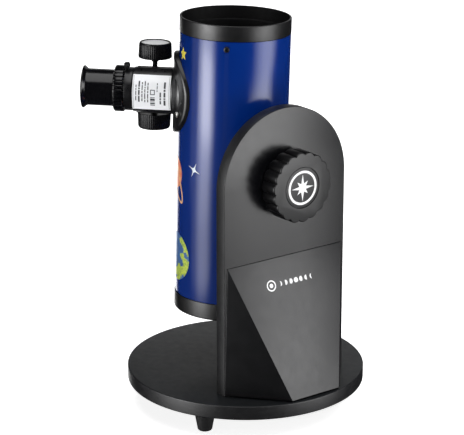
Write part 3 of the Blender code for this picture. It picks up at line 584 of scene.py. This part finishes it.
for i, y in enumerate((-46.0, 46.0), 1):
    screw = cross_screw(1.8, -70.5, -46.3, 3.9, 2.6, "X")
    bmesh.ops.rotate(screw, verts=screw.verts[:], cent=(0, 0, 0), matrix=Matrix.Rotation(math.pi, 3, "Z"))
    piece("brace_cross_screw_%d" % i, moved(screw, (0, y, 54.0)), M_STAND, STEEL_MAT, "turntable",
          ("brace_screw_%d" % i,))
for i, z in enumerate((-21.0, 21.0), 1):
    screw = cross_screw(1.7, -61.2, -48.4, 3.4, 2.0, "X")
    bmesh.ops.rotate(screw, verts=screw.verts[:], cent=(0, 0, 0), matrix=Matrix.Rotation(math.pi, 3, "Z"))
    piece("hub_cross_screw_%d" % i, moved(screw, (0, 0, z)), M_TUBE, STEEL_MAT, "tube_assembly",
          ("hub_screw_%d" % i,))
for i, a in enumerate((90, 210, 330), 1):
    screw = cross_screw(2.0, 125.5, 138.2, 4.0, 2.2, "Z")
    bmesh.ops.rotate(screw, verts=screw.verts[:], cent=(0, 0, 0), matrix=Matrix.Rotation(math.pi, 3, "X"))
    piece("collimation_cross_screw_%d" % i, moved(screw, (*polar(30.0, a), 0)), M_TUBE, STEEL_MAT, "tube_assembly",
          ("collimation_screw_%d" % i,))
for k in range(3):
    a = -45.2 + 120 * k
    screw = moved(moved(cross_screw(1.15, 43.6, 50.4, 2.6, 1.6, "X"), turn=a), (0, 0, 114.0))
    piece("spider_cross_screw_%d" % (k + 1), screw, M_TUBE, BLACK_STEEL_MAT, "tube_assembly",
          ("spider_screw_%d" % (k + 1),))
for i, (a, dz) in enumerate(SADDLE_HOLES, 1):
    screw = moved(moved(cross_screw(1.4, 46.2, SADDLE_SEAT + 0.35, 2.7, 2.0, "X"), turn=a), (0, 0, dz))
    piece("saddle_cross_screw_%d" % i, screw, M_FOCUS, STEEL_MAT, "tube_assembly", ("saddle_screw_%d" % i,))


# --------------------------------------------------------------- tension knob
def lobed(radius, depth, lobes, per=14, shrink=0.0):
    pts = []
    for k in range(lobes * per):
        a = 360.0 * k / (lobes * per)
        wave = abs(math.cos(math.radians(a * lobes / 2)))
        pts.append(polar(radius - shrink - depth * (1 - wave ** 0.7), a - 6.0))
    return pts


knob_layers = [(60.9, 22.6, 0.1, 0.4), (61.3, 23.0, 0.1, 0.0), (64.2, 23.6, 0.1, 0.0), (64.42, 24.6, 0.3, 0.0),
               (64.55, 31.9, 2.2, 1.5), (64.85, 31.9, 2.2, 0.8), (65.4, 31.9, 2.2, 0.25), (66.0, 31.9, 2.2, 0.0),
               (81.6, 31.9, 2.2, 0.0), (82.15, 31.9, 2.2, 0.10), (82.5, 31.9, 2.2, 0.32), (82.72, 31.9, 2.2, 0.60),
               (82.8, 31.9, 2.2, 0.95)]
knob = carve(
    layered([(x, lobed(r, d, 18, shrink=s)) for x, r, d, s in knob_layers], along="X"),
    ("DIFFERENCE", turned([(0, 81.4), (18.6, 81.4), (18.6, 82.3), (19.0, 83.2), (0, 83.2)], 128, "X")),
    ("DIFFERENCE", turned([(0, 55), (16, 55), (16, 62.2), (4.35, 62.2), (4.35, 72.3), (0, 72.3)], 64, "X")))
piece("tension_knob_moulding", knob, M_KNOB, KNOB_MAT, "tension_knob", ("tension_knob",), sharp=28)
piece("knob_badge_disc", turned(rounded([(0, 81.7), (18.25, 81.7), (18.25, 82.6), (0, 82.6)], [0, 0.1, 0.25, 0], 3,
                                        closed=False), 128, "X"),
      M_KNOB, BADGE_MAT, "tension_knob", ("knob_badge",))


def flat_shape(outline, x0, x1):
    return layered([(x0, outline), (x1, outline)], along="X")


def ring_shape(r_in, r_out, x0, x1, steps=96):
    return turned([(r_in, x0), (r_out, x0), (r_out, x1), (r_in, x1)], steps, "X")


def star_outline(points, r_long, r_short, r_waist, turn=90.0):
    """A compass star: long and short rays take turns."""
    pts = []
    for k in range(points):
        r = r_long if k % 2 == 0 else r_short
        pts.append(polar(r, turn + 360.0 * k / points))
        pts.append(polar(r_waist, turn + 360.0 * (k + 0.5) / points))
    return pts


piece("knob_emblem_ring", ring_shape(13.35, 15.5, 82.61, 82.72, 128), M_KNOB, WHITE_INK, "tension_knob")
piece("knob_emblem_star", flat_shape(star_outline(8, 12.0, 8.0, 3.9), 82.61, 82.72), M_KNOB, WHITE_INK, "tension_knob")

# brace mark: a small ringed dot and a row of moon phases on the sloping face
slope = Vector((105.1 - BRACE_LIP, 0, 38.0 - 156.7)).normalized()
face_n = Vector((-slope.z, 0, slope.x)).normalized()
M_MARK = M_STAND @ shift(BRACE_LIP, 0, 156.7) @ Matrix((
    (face_n.x, 0, -slope.x, 0), (face_n.y, 1, -slope.y, 0), (face_n.z, 0, -slope.z, 0), (0, 0, 0, 1)))
MARK_DROP = -23.4
mark = joined(moved(ring_shape(3.8, 5.0, 0.02, 0.10, 64), (0, -22.2, MARK_DROP)),
              moved(flat_shape([polar(2.0, 360 * k / 32) for k in range(32)], 0.02, 0.10), (0, -22.2, MARK_DROP)))


def phase(share, r=2.35, steps=20):
    """Lit part of a moon disc; share runs from -1 (thin, left) to 1 (thin, right), 0 is full."""
    right = [polar(r, -90 + 180 * k / steps) for k in range(steps + 1)]
    bow = 1 - 2 * abs(share)
    left = [(-bow * r * math.cos(math.radians(-90 + 180 * k / steps)), r * math.sin(math.radians(-90 + 180 * k / steps)))
            for k in range(steps - 1, 0, -1)]
    pts = right + left
    if share < 0:
        pts = [(-u, v) for u, v in reversed(pts)]
    return pts


row = []
for k, share in enumerate((0.68, 0.46, 0.24, 0.0, -0.24, -0.46, -0.68)):
    row.append(moved(flat_shape(phase(share), 0.02, 0.10), (0, -12.6 + 6.0 * k, MARK_DROP)))
piece("brace_mark", joined(mark, *row), M_MARK, WHITE_INK, "turntable", sharp=30)

# --------------------------------------------------------------- optical tube
def across_wall(radius, low, high, angle, z, steps=24):
    return moved(moved(rod(radius, low, high, steps, "X"), turn=angle), (0, 0, z))


SPIDER = [(-45.2 + 120 * k, 114.0) for k in range(3)]
SADDLE = [(FOCUS_ANGLE + a, FOCUS_Z + dz) for a, dz in SADDLE_HOLES]
tube = carve(
    turned(rounded([(49.0, -122.3), (50.0, -122.3), (50.0, 120.7), (49.0, 120.7)], [0, 0.3, 0.3, 0], 2), 256),
    ("DIFFERENCE", joined(across_wall(20.2, 30, 60, FOCUS_ANGLE, FOCUS_Z, 96),
                          *[across_wall(1.9, 40, 60, a, z) for a, z in SADDLE],
                          *[across_wall(1.8, 40, 60, a, z) for a, z in SPIDER],
                          *[moved(rod(2.1, 40, 60, 24, "X"), (0, 0, z)) for z in (-21, 21)])))
tube_ob = piece("optical_tube_shell", tube, M_TUBE, BLUE_MAT, "tube_assembly", ("optical_tube",), sharp=30)
# the inner wall takes the inside black, which carries painted shade
tube_ob.data.materials.append(INNER_BLACK_AND_SHADE)
for poly in tube_ob.data.polygons:
    c = poly.center
    if math.hypot(c.x, c.y) < 0.04975:
        poly.material_index = 1

front = carve(
    turned(rounded([(50.24, 121.0), (50.24, 134.62), (48.5, 134.62), (48.5, 122.7), (47.2, 122.0), (47.2, 106.0),
                    (48.7, 106.0), (48.7, 121.0)], [0.25, 0.6, 0.5, 0.2, 0.3, 0, 0, 0], 4), 240),
    ("DIFFERENCE", joined(*[across_wall(1.8, 40, 60, a, z) for a, z in SPIDER])))
front_ob = piece("front_ring_moulding", front, M_TUBE, RING_MAT, "tube_assembly", ("front_ring",), sharp=30)
front_ob.data.materials.append(INNER_BLACK_AND_SHADE)
# the inward faces of the same plastic ring take the inside black: painted shade in the mouth of the tube
for poly in front_ob.data.polygons:
    c = poly.center
    if math.hypot(c.x, c.y) < 0.0486 and poly.normal.x * c.x + poly.normal.y * c.y < -0.02:
        poly.material_index = 1

cap = carve(
    turned(rounded([(0, -136.9), (36, -136.9), (37, -137.88), (50.46, -137.88), (50.46, -122.6), (48.7, -122.6),
                    (48.7, -114.0), (47.2, -114.0), (47.2, -134.9), (0, -134.9)],
                   [0, 0.3, 0.3, 1.4, 0.3, 0, 0, 0, 0, 0], 4, closed=False), 240),
    ("DIFFERENCE", joined(*[moved(rod(2.4, -150, -130, 24), (*polar(30, a), 0)) for a in (90, 210, 330)])))
piece("rear_cap_moulding", cap, M_TUBE, RING_MAT, "tube_assembly", ("rear_cap",), sharp=30)

mirror_prof = [(0, -124.7), (37.3, -124.7), (38.0, -124.0), (38.0, -115.7)]
mirror_prof += [(r, -115.2 - (38.0 ** 2 - r ** 2) / 1200.0) for r in (37.5, 34, 30, 26, 22, 18, 14, 10, 6, 3, 0)]
piece("primary_mirror_glass", turned(mirror_prof, 128), M_TUBE, MIRROR_MAT, "tube_assembly", ("primary_mirror",),
      sharp=25)


# tube artwork: thin films bent round the tube
def film(name, outer, centre, mat, inner=None, h0=0.03, h1=0.11, steps=96, rings=6):
    """A printed shape in (arc length, height) millimetres round a centre (degrees, z)."""
    bm = bmesh.new()
    deg0, z0 = centre

    def at(u, v, r):
        a = math.radians(deg0) + u / 50.0
        return bm.verts.new((r * math.cos(a), r * math.sin(a), z0 + v))
    layers = []
    for h in (h0, h1):
        grid = []
        for j in range(rings + 1):
            w = j / rings
            line = []
            for k in range(steps):
                t = 2 * math.pi * k / steps
                ou, ov = outer(t)
                iu, iv = inner(t) if inner else (0.0, 0.0)
                if j == 0 and not inner:
                    if k == 0:
                        line.append(at(0, 0, 50.0 + h))
                    continue
                line.append(at(iu + (ou - iu) * w, iv + (ov - iv) * w, 50.0 + h))
            grid.append(line)
        layers.append(grid)
    for side, grid in enumerate(layers):
        for j in range(rings):
            a, b = grid[j], grid[j + 1]
            for k in range(steps):
                m = (k + 1) % steps
                f = (a[0], b[k], b[m]) if len(a) == 1 else (a[k], b[k], b[m], a[m])
                bm.faces.new(f if side else tuple(reversed(f)))
    for j in (rings,) if not inner else (0, rings):
        a, b = layers[0][j], layers[1][j]
        for k in range(steps):
            m = (k + 1) % steps
            f = (a[k], a[m], b[m], b[k])
            bm.faces.new(f if j else tuple(reversed(f)))
    bmesh.ops.recalc_face_normals(bm, faces=bm.faces[:])
    return piece(name, bm, M_TUBE, mat, "tube_assembly", sharp=40)


def circle(r):
    return lambda t: (r * math.cos(t), r * math.sin(t))


def oval(a, b, tilt):
    c, s = math.cos(math.radians(tilt)), math.sin(math.radians(tilt))
    return lambda t: (a * math.cos(t) * c - b * math.sin(t) * s, a * math.cos(t) * s + b * math.sin(t) * c)


def rays(points, r_out, r_in, turn, power=1.0):
    """Star outline as a polar curve with straight sides."""
    def f(t):
        step = 2 * math.pi / points
        w = ((t - math.radians(turn)) / step) % 1.0
        w = abs(w - 0.5) * 2            # 1 at a tip, 0 at a waist
        half = step / 2
        # straight side between tip and waist, in polar form
        tip, waist = Vector((r_out, 0)), Vector((r_in * math.cos(half), r_in * math.sin(half)))
        ang = (1 - w) * half
        d = waist - tip
        den = math.cos(ang) * d.y - math.sin(ang) * d.x
        r = (tip.x * d.y - tip.y * d.x) / den
        r = r * (1 - power) + power * r
        return r * math.cos(t), r * math.sin(t)
    return f


film("art_star", rays(5, 6.6, 2.9, 96), (-102.8, 102.9), YELLOW_INK, steps=80, rings=3)
film("art_sparkle", rays(4, 8.0, 1.1, 68), (-79.6, 0.6), PALE_INK, steps=80, rings=3, h0=0.05, h1=0.10)
film("art_sparkle_haze", rays(4, 3.2, 2.0, 68), (-79.6, 0.6), PALE_INK, steps=80, rings=3, h0=0.03, h1=0.06)
film("art_ringed_planet", circle(14.5), (-117.8, -8.8), ORANGE_PLANET, rings=8)
film("art_planet_ring", oval(30.3, 8.6, -55), (-119.0, -10.0), RIM_INK, inner=oval(28.2, 6.4, -55), h0=0.12, h1=0.18,
     steps=128, rings=2)
film("art_green_planet", circle(22.3), (-109.8, -87.0), GREEN_PLANET, rings=8)
# the far side, seen by nobody in the reference view
film("art_star_b", rays(5, 6.0, 2.6, 80), (162.0, 88.0), YELLOW_INK, steps=80, rings=3)
film("art_star_c", rays(5, 4.5, 2.0, 100), (118.0, 20.0), YELLOW_INK, steps=80, rings=3)
film("art_sparkle_b", rays(4, 7.0, 1.0, 75), (176.0, 30.0), PALE_INK, steps=80, rings=3, h0=0.05, h1=0.10)
film("art_sparkle_c", rays(4, 6.0, 0.9, 60), (100.0, 84.0), PALE_INK, steps=80, rings=3, h0=0.05, h1=0.10)
film("art_moon", circle(13.0), (140.0, -48.0),
     patched("moon_grey", (0.52, 0.54, 0.60), (0.66, 0.68, 0.74), (0.40, 0.42, 0.47), 90.0), rings=6)

# ------------------------------------------------------------------- focuser
def saddle_outline(inset=0.0, steps=176):
    """Egg-shaped edge, rounder above the barrel and squarer below it."""
    pts = []
    for k in range(steps):
        a = 2 * math.pi * k / steps
        u, v = math.cos(a), math.sin(a)
        if v >= 0:
            pts.append(((35.4 - inset) * u, 1.0 + (35.7 - inset) * v))
        else:
            e = 2 / 2.4
            pts.append(((35.4 - inset) * math.copysign(abs(u) ** e, u), 1.0 - (37.6 - inset) * abs(v) ** e))
    return pts


def saddle_plate(lip=1.3):
    """Plate bent round the tube, its outer edge rounded over by lip."""
    bm = bmesh.new()

    def ring(inset, drop, flat=None):
        out = []
        for y, z in saddle_outline(inset):
            x = SADDLE_X + math.sqrt((SADDLE_R - drop) ** 2 - y * y) if flat is None else flat
            out.append(bm.verts.new((x, y, z)))
        return out
    rings = [ring(0, 0, 20.0)]
    for k in range(6):
        t = math.radians(18 * k)
        rings.append(ring(lip * (1 - math.cos(t)), lip * (1 - math.sin(t))))
    rings += [ring(inset, 0) for inset in (2.6, 5, 8, 11, 14, 17, 20, 23, 26, 29, 32)]
    n = len(rings[0])
    for a, b in zip(rings, rings[1:]):
        for i in range(n):
            j = (i + 1) % n
            bm.faces.new((a[i], a[j], b[j], b[i]))
    bm.faces.new(list(reversed(rings[0])))
    bm.faces.new(rings[-1])
    bmesh.ops.recalc_face_normals(bm, faces=bm.faces[:])
    return bm


housing = carve(
    saddle_plate(),
    ("UNION", turned(rounded([(0, 35), (28.6, 35), (28.4, 42.5), (27.9, 45.6), (26.9, 48.4), (25.2, 50.7), (22.9, 52.5),
                              (21.2, 54.0), (20.44, 56.0), (20.44, 90.7), (0, 90.7)],
                             [0, 0, 0, 2, 2, 2, 2, 1.5, 1.5, 0.8, 0], 3, closed=False), 144, "X")),
    ("UNION", block(48, 88, -3.6, 3.6, -20.95, 20.95)),
    ("UNION", block(48.6, 87.4, -21.4, -12.3, -6.6, 6.6)),
    ("UNION", block(65.5, 85, -29, -8, -10.2, 10.2)),
    ("DIFFERENCE", rod(50.35, -60, 60, 240)),
    ("DIFFERENCE", rod(17.5, 30, 100, 96, "X")),
    ("DIFFERENCE", block(30, 100, -19.75, -10, -4.5, 4.5)),
    ("DIFFERENCE", block(PINION_X - 5.4, PINION_X + 5.4, -40, -18, -5, 5)),
    ("DIFFERENCE", moved(rod(2.65, -30, 30, 40), (PINION_X, PINION_Y, 0))),
    ("DIFFERENCE", block(PINION_X - 2.4, PINION_X + 2.4, -40, PINION_Y + 0.2, -30, 30)),
    ("DIFFERENCE", joined(*[moved(moved(rod(1.9, 40, 60, 24, "X"), turn=a), (0, 0, dz)) for a, dz in SADDLE_HOLES])))
piece("focuser_housing_casting", housing, M_FOCUS, HOUSE_MAT, "tube_assembly", ("focuser_housing",), sharp=30,
      bevel=0.3)

cover = block(65.6, 84.9, -32.0, -29.3, -10.2, 10.2)
bmesh.ops.bevel(cover, geom=cover.edges[:] + cover.verts[:], offset=0.7, segments=3, profile=0.5, affect="EDGES")
piece("pinion_cover_plate", cover, M_FOCUS, HOUSE_MAT, "tube_assembly", ("pinion_cover",), sharp=40)
for i, (x, z) in enumerate(((68.6, 7.4), (81.9, 7.4), (68.6, -7.4), (81.9, -7.4)), 1):
    s = cross_screw(0.8, 29.9, 31.5, 1.7, 0.45, "Z", 28)
    bmesh.ops.rotate(s, verts=s.verts[:], cent=(0, 0, 0), matrix=Matrix.Rotation(math.radians(90), 3, "X"))
    piece("cover_cross_screw_%d" % i, moved(s, (x, 0, z)), M_FOCUS, BLACK_STEEL_MAT, "tube_assembly")


# data label: a bent sheet with rows of plain dashes, no words
def bent(x0, x1, a0, a1, r0, r1, steps):
    bm = bmesh.new()
    rows = []
    for x in (x0, x1):
        for r in (r0, r1):
            rows.append([bm.verts.new((x, *polar(r, a0 + (a1 - a0) * k / steps))) for k in range(steps + 1)])
    for a, b in ((0, 1), (1, 3), (3, 2), (2, 0)):
        for k in range(steps):
            bm.faces.new((rows[a][k], rows[a][k + 1], rows[b][k + 1], rows[b][k]))
    for k in (0, steps):
        bm.faces.new((rows[0][k], rows[1][k], rows[3][k], rows[2][k]))
    bmesh.ops.recalc_face_normals(bm, faces=bm.faces[:])
    return bm


R_FILM = 20.44
piece("data_label", bent(55.4, 89.8, -45.0, 52.5, R_FILM + 0.30, R_FILM + 0.52, 60), M_FOCUS, LABEL_MAT, "tube_assembly",
      ("info_label",), sharp=40)
marks = []
columns = [(60.4, 1.7, 33, (12, 4, 9, 3, 11)), (64.2, 1.3, 7, (9, 4, 7)), (67.2, 0.8, 30, (4, 6, 3)),
           (75.6, 0.9, 30, (5, 7, 4, 9, 6)), (78.2, 0.9, 34, (9, 3, 6, 11, 5)), (80.8, 0.9, 31, (4, 9, 4, 7, 6)),
           (83.6, 1.4, 34, (11, 3, 9, 12)), (86.4, 0.8, 24, (5, 3, 8, 9))]
for x, w, start, runs in columns:
    a = start
    for n in runs:
        marks.append(bent(x - w / 2, x + w / 2, a - n * 1.35, a, R_FILM + 0.525, R_FILM + 0.56, max(2, n)))
        a -= n * 1.35 + 2.0
strips = [(69.2, 69.9, 0, 13), (72.7, 73.4, 0, 13), (69.9, 72.7, 0, 2), (69.9, 72.7, 11, 13)]
strips += [(69.2, 73.4, low, high) for low, high in ((-29, -26.5), (-24.5, -20.5), (-18.5, -17), (-15, -9), (-7, -5.5))]
strips += [(56.3, 56.6, -42, 50), (88.7, 89.0, -42, 50)]
for x0, x1, a0, a1 in strips:
    marks.append(bent(x0, x1, a0, a1, R_FILM + 0.525, R_FILM + 0.56, 16))
piece("data_label_dashes", joined(*marks), M_FOCUS, GREY_INK, "tube_assembly", sharp=40)

collar = carve(
    turned(rounded([(17.5, 91.0), (19.7, 91.0), (19.7, 98.3), (16.1, 98.3), (16.1, 95.3), (17.5, 95.3)],
                   [0, 0.5, 0.6, 0.3, 0, 0], 3), 128, "X"),
    ("DIFFERENCE", moved(moved(rod(1.7, 10, 30, 24), turn=LOCK_ANGLE - 90, axis="X"), (LOCK_X, 0, 0))))
piece("eyepiece_collar_ring", collar, M_FOCUS, HOUSE_MAT, "drawtube", ("eyepiece_collar",), sharp=30)


def toothed(radius, depth, count, duty, per=8, shrink=0.0):
    """Round outline with narrow grooves; duty is the share of each pitch left proud."""
    pts = []
    for k in range(count * per):
        w = (k % per) / per
        edge = abs(w - 0.5) * 2
        cut = 1.0 if edge > duty + 0.12 else (0.0 if edge < duty - 0.12 else (edge - duty + 0.12) / 0.24)
        pts.append(polar(radius - shrink - depth * cut, 360.0 * k / (count * per)))
    return pts


thumb = layered([(23.3, toothed(2.8, 0.22, 16, 0.6, 6, 0.35)), (23.6, toothed(2.8, 0.22, 16, 0.6, 6)),
                 (26.4, toothed(2.8, 0.22, 16, 0.6, 6)), (26.8, toothed(2.8, 0.22, 16, 0.6, 6, 0.45))])
thumb = carve(thumb, ("UNION", turned([(0, 16.3), (1.35, 16.3), (1.35, 21.6), (2.0, 21.9), (2.0, 24.2), (0, 24.2)], 32)))
piece("lock_thumbscrew_knurled", thumb, M_LOCK, BLACK_STEEL_MAT, "lock_screw", ("lock_thumbscrew",), sharp=30)

for name, sign, out in (("upper", 1, 0.0), ("lower", -1, 0.9)):
    rib = lambda r, s: toothed(r, 0.22, 52, 0.62, 6, s)
    body = layered([(25.2 + out, rib(15.0, 0.2)), (25.5 + out, rib(15.3, 0.0)), (26.3 + out, rib(15.4, 0.0)),
                    (37.5 + out, rib(14.9, 0.0)), (38.0 + out, rib(14.85, 0.0)), (38.25 + out, rib(14.8, 0.1))])
    crown = turned(rounded([(0, 37.4 + out), (14.3, 37.4 + out), (14.45, 38.4 + out), (14.2, 39.5 + out), (12.8, 39.5 + out),
                            (12.8, 38.2 + out), (0, 38.2 + out)], [0, 0, 0.5, 0.8, 0.2, 0, 0], 4, closed=False), 128)
    boss = turned(rounded([(0, 21.4 + out), (3.1, 21.4 + out), (3.1, 26.0 + out), (0, 26.0 + out)], [0, 0.3, 0, 0], 3,
                          closed=False), 48)
    knob_bm = carve(body, ("UNION", crown), ("DIFFERENCE", turned([(0, 38.2 + out), (12.8, 38.2 + out), (12.8, 40.5 + out),
                                                                   (0, 40.5 + out)], 128)),
                    ("UNION", boss), ("DIFFERENCE", rod(2.65, 20, 37.9 + out, 32)))
    if sign < 0:
        bmesh.ops.rotate(knob_bm, verts=knob_bm.verts[:], cent=(0, 0, 0), matrix=Matrix.Rotation(math.pi, 3, "X"))
    piece("focus_knob_%s_ribbed" % name, knob_bm, M_PINION, FOCUS_KNOB_MAT, "pinion", ("focus_knob_" + name,), sharp=28)
    inlay = turned([(0, 38.28 + out), (12.6, 38.28 + out), (12.6, 38.62 + out), (12.3, 38.74 + out), (6, 38.72 + out),
                    (0, 38.70 + out)], 128)
    if sign < 0:
        bmesh.ops.rotate(inlay, verts=inlay.verts[:], cent=(0, 0, 0), matrix=Matrix.Rotation(math.pi, 3, "X"))
    piece("knob_inlay_%s_disc" % name, inlay, M_PINION, INLAY_MAT, "pinion", ("knob_inlay_" + name,), sharp=30)

# ------------------------------------------------------------------ eyepiece
body = turned(rounded([(16.0, 98.7), (16.8, 98.7), (16.8, 132.6), (17.2, 133.8), (18.8, 135.6), (19.42, 136.4), (19.35, 137.3),
                       (18.0, 137.8), (10.0, 128.6), (8.2, 127.4), (8.2, 121.6), (7.0, 121.6), (7.0, 118.6), (13.4, 118.6),
                       (13.4, 104.0), (16.0, 104.0)],
                      [0, 0, 1.5, 1.5, 0.8, 0.5, 0.5, 0.5, 1.2, 0.4, 0, 0, 0, 0, 0, 0], 4), 160, "X")
piece("eyepiece_body_moulding", body, M_FOCUS, GLOSS_MAT, "eyepiece", ("eyepiece_body",), sharp=30,
      baked=True)
grip_layers = [(98.8, 1.2), (99.1, 0.75), (99.6, 0.1), (99.9, 0.0), (107.0, 0.0), (107.4, 0.15), (108.0, 0.75), (108.3, 1.3)]
grip = carve(layered([(x, toothed(21.06, 1.25, 34, 0.52, 10, s)) for x, s in grip_layers], along="X"),
             ("DIFFERENCE", rod(17.1, 90, 120, 96, "X")))
piece("eyepiece_grip_ribbed", grip, M_FOCUS, GLOSS_MAT, "eyepiece", ("eyepiece_grip",), sharp=30)
eye = [(7.9 * k / 8, 125.4 + 0.9 * (1 - (k / 8) ** 2)) for k in range(9)]
eye += [(7.9 * k / 8, 123.2 - 0.9 * (1 - (k / 8) ** 2)) for k in range(8, -1, -1)]
piece("eye_lens_glass", turned(eye, 96, "X"), M_FOCUS, LENS_MAT, "eyepiece", ("eye_lens",), sharp=30)

# -------------------------------------------------------------------- studio
scene = bpy.context.scene
scene.view_settings.view_transform = "Standard"
scene.view_settings.look = "None"

floor_bm = turned([(0, -2.0), (2600, -2.0), (2600, -0.5), (0, -0.5)], 96)
bmesh.ops.scale(floor_bm, verts=floor_bm.verts[:], vec=(MM, MM, MM))
floor_mesh = bpy.data.meshes.new("floor")
floor_bm.to_mesh(floor_mesh)
floor_bm.free()
floor = bpy.data.objects.new("floor", floor_mesh)
scene.collection.objects.link(floor)
floor.visible_glossy = False
floor.visible_shadow = False
fmat, fnt, fp = tree("floor_paper")
fco = fnt.nodes.new("ShaderNodeTexCoord").outputs["Object"]
fn = noise(fnt, fco, 3.0, 3.0)
fc = ramp(fnt, fn.outputs["Fac"], [(0.3, (0.83, 0.83, 0.83)), (0.7, (0.86, 0.86, 0.86))])
fnt.links.new(fc.outputs["Color"], fp.inputs["Base Color"])
fp.inputs["Roughness"].default_value = 0.9
fp.inputs["Specular IOR Level"].default_value = 0.1
fp.inputs["Emission Color"].default_value = (1, 1, 1, 1)
fp.inputs["Emission Strength"].default_value = 0.88
floor_mesh.materials.append(fmat)

world = bpy.data.worlds.new("studio")
scene.world = world
world.use_nodes = True
wnt = world.node_tree
bg = wnt.nodes["Background"]
bg.inputs["Color"].default_value = (0.9, 0.92, 1.0, 1.0)
bg.inputs["Strength"].default_value = 0.02
bright = wnt.nodes.new("ShaderNodeBackground")
bright.inputs["Color"].default_value = (1, 1, 1, 1)
bright.inputs["Strength"].default_value = 1.0
path = wnt.nodes.new("ShaderNodeLightPath")
mixw = wnt.nodes.new("ShaderNodeMixShader")
wnt.links.new(path.outputs["Is Camera Ray"], mixw.inputs["Fac"])
wnt.links.new(bg.outputs["Background"], mixw.inputs[1])
wnt.links.new(bright.outputs["Background"], mixw.inputs[2])
wnt.links.new(mixw.outputs["Shader"], wnt.nodes["World Output"].inputs["Surface"])

centre = Vector((0.0, 0.0, 0.20))
CAM_AZ = -36.52          # direction of the camera, degrees from +X


def softbox(name, azimuth, elevation, distance, width, height, radiance, diffuse=True, glossy=True, color=(1, 1, 1)):
    """Rectangular lamp; radiance is what a camera would see on its face."""
    data = bpy.data.lights.new(name, "AREA")
    data.shape = "RECTANGLE"
    data.size = width
    data.size_y = height
    data.energy = radiance * width * height * math.pi
    data.color = color
    ob = bpy.data.objects.new(name, data)
    scene.collection.objects.link(ob)
    a, e = math.radians(azimuth), math.radians(elevation)
    direction = Vector((math.cos(e) * math.cos(a), math.cos(e) * math.sin(a), math.sin(e)))
    ob.location = centre + direction * distance
    ob.rotation_euler = direction.to_track_quat("Z", "Y").to_euler()
    ob.visible_diffuse = diffuse
    ob.visible_glossy = glossy
    ob.visible_camera = False
    return ob


def card(name, azimuth, half_angle, low, high, radiance, distance=1.5):
    """Upright lamp facing the object's axis, seen in reflections only."""
    lamp = softbox(name, azimuth, 0, distance, 2 * distance * math.tan(math.radians(half_angle)), high - low, radiance,
                   diffuse=False)
    lamp.location.z = (low + high) / 2
    return lamp


# tall lamps on both sides of the camera, dimmer towards their lower ends
LEFT = [(-0.80, -0.38, 3.6, -2.5), (-0.38, -0.30, 4.7, -2.5), (-0.30, -0.24, 5.0, -2.4), (-0.24, -0.19, 5.2, -2.2),
        (-0.19, -0.15, 5.6, -2.0), (-0.15, -0.10, 5.9, -1.8), (-0.10, -0.05, 6.2, -1.5), (-0.05, 0.0, 7.1, -1.2),
        (0.0, 0.05, 8.8, -0.6), (0.05, 0.45, 13.0, 0.0), (0.45, 1.10, 6.0, 0.0)]
RIGHT = [(-0.80, -0.42, 1.1, 10.0), (-0.42, -0.35, 1.8, 10.0), (-0.35, -0.28, 2.6, 10.0), (-0.28, -0.21, 3.4, 10.0),
         (-0.21, -0.14, 4.4, 8.0), (-0.14, -0.05, 5.3, 4.0), (-0.05, 0.25, 6.2, 0), (0.25, 1.10, 5.2, 9.0)]
for side, azimuth, bands, widths in (("left", CAM_AZ - 57.5, LEFT, ((-9, 9), (-14, 13), (-20, 18))),
                                     ("right", CAM_AZ + 57.5, RIGHT, ((-9, 13), (-17, 17.5), (-22, 22), (-28, 27)))):
    for k, (low, high, radiance, lean) in enumerate(bands):
        for j, (near, far) in enumerate(widths):
            card("%s_card_%d_%d" % (side, k, j), azimuth + lean + (near + far) / 2, (far - near) / 2, low, high,
                 radiance / len(widths), 1.50 - 0.01 * j)
card("left_wide", CAM_AZ - 84, 12, -0.24, 0.9, 0.5, 1.46)
card("left_low", CAM_AZ - 80, 11, -0.70, -0.24, 0.6, 1.46)
card("back_low", CAM_AZ + 192, 17, -0.95, 0.10, 2.2)
softbox("back_high", CAM_AZ + 172, 17, 1.8, 1.3, 0.8, 0.45, diffuse=False)
top = softbox("overhead_card", CAM_AZ, 90, 1.5, 1.3, 1.85, 2.2, diffuse=False)
top.location = (0.42 * math.cos(math.radians(CAM_AZ)), 0.42 * math.sin(math.radians(CAM_AZ)), 1.75)
top.rotation_euler = (0, 0, math.radians(CAM_AZ - 90))
softbox("fill_front", CAM_AZ + 25, 38, 2.0, 1.2, 1.2, 2.0, glossy=False)
sun_data = bpy.data.lights.new("overhead", "SUN")
sun_data.energy = 2.7
sun_data.angle = math.radians(70)
sun = bpy.data.objects.new("overhead", sun_data)
scene.collection.objects.link(sun)
sun.rotation_euler = (math.radians(-6), math.radians(10), 0)
sun.visible_glossy = False
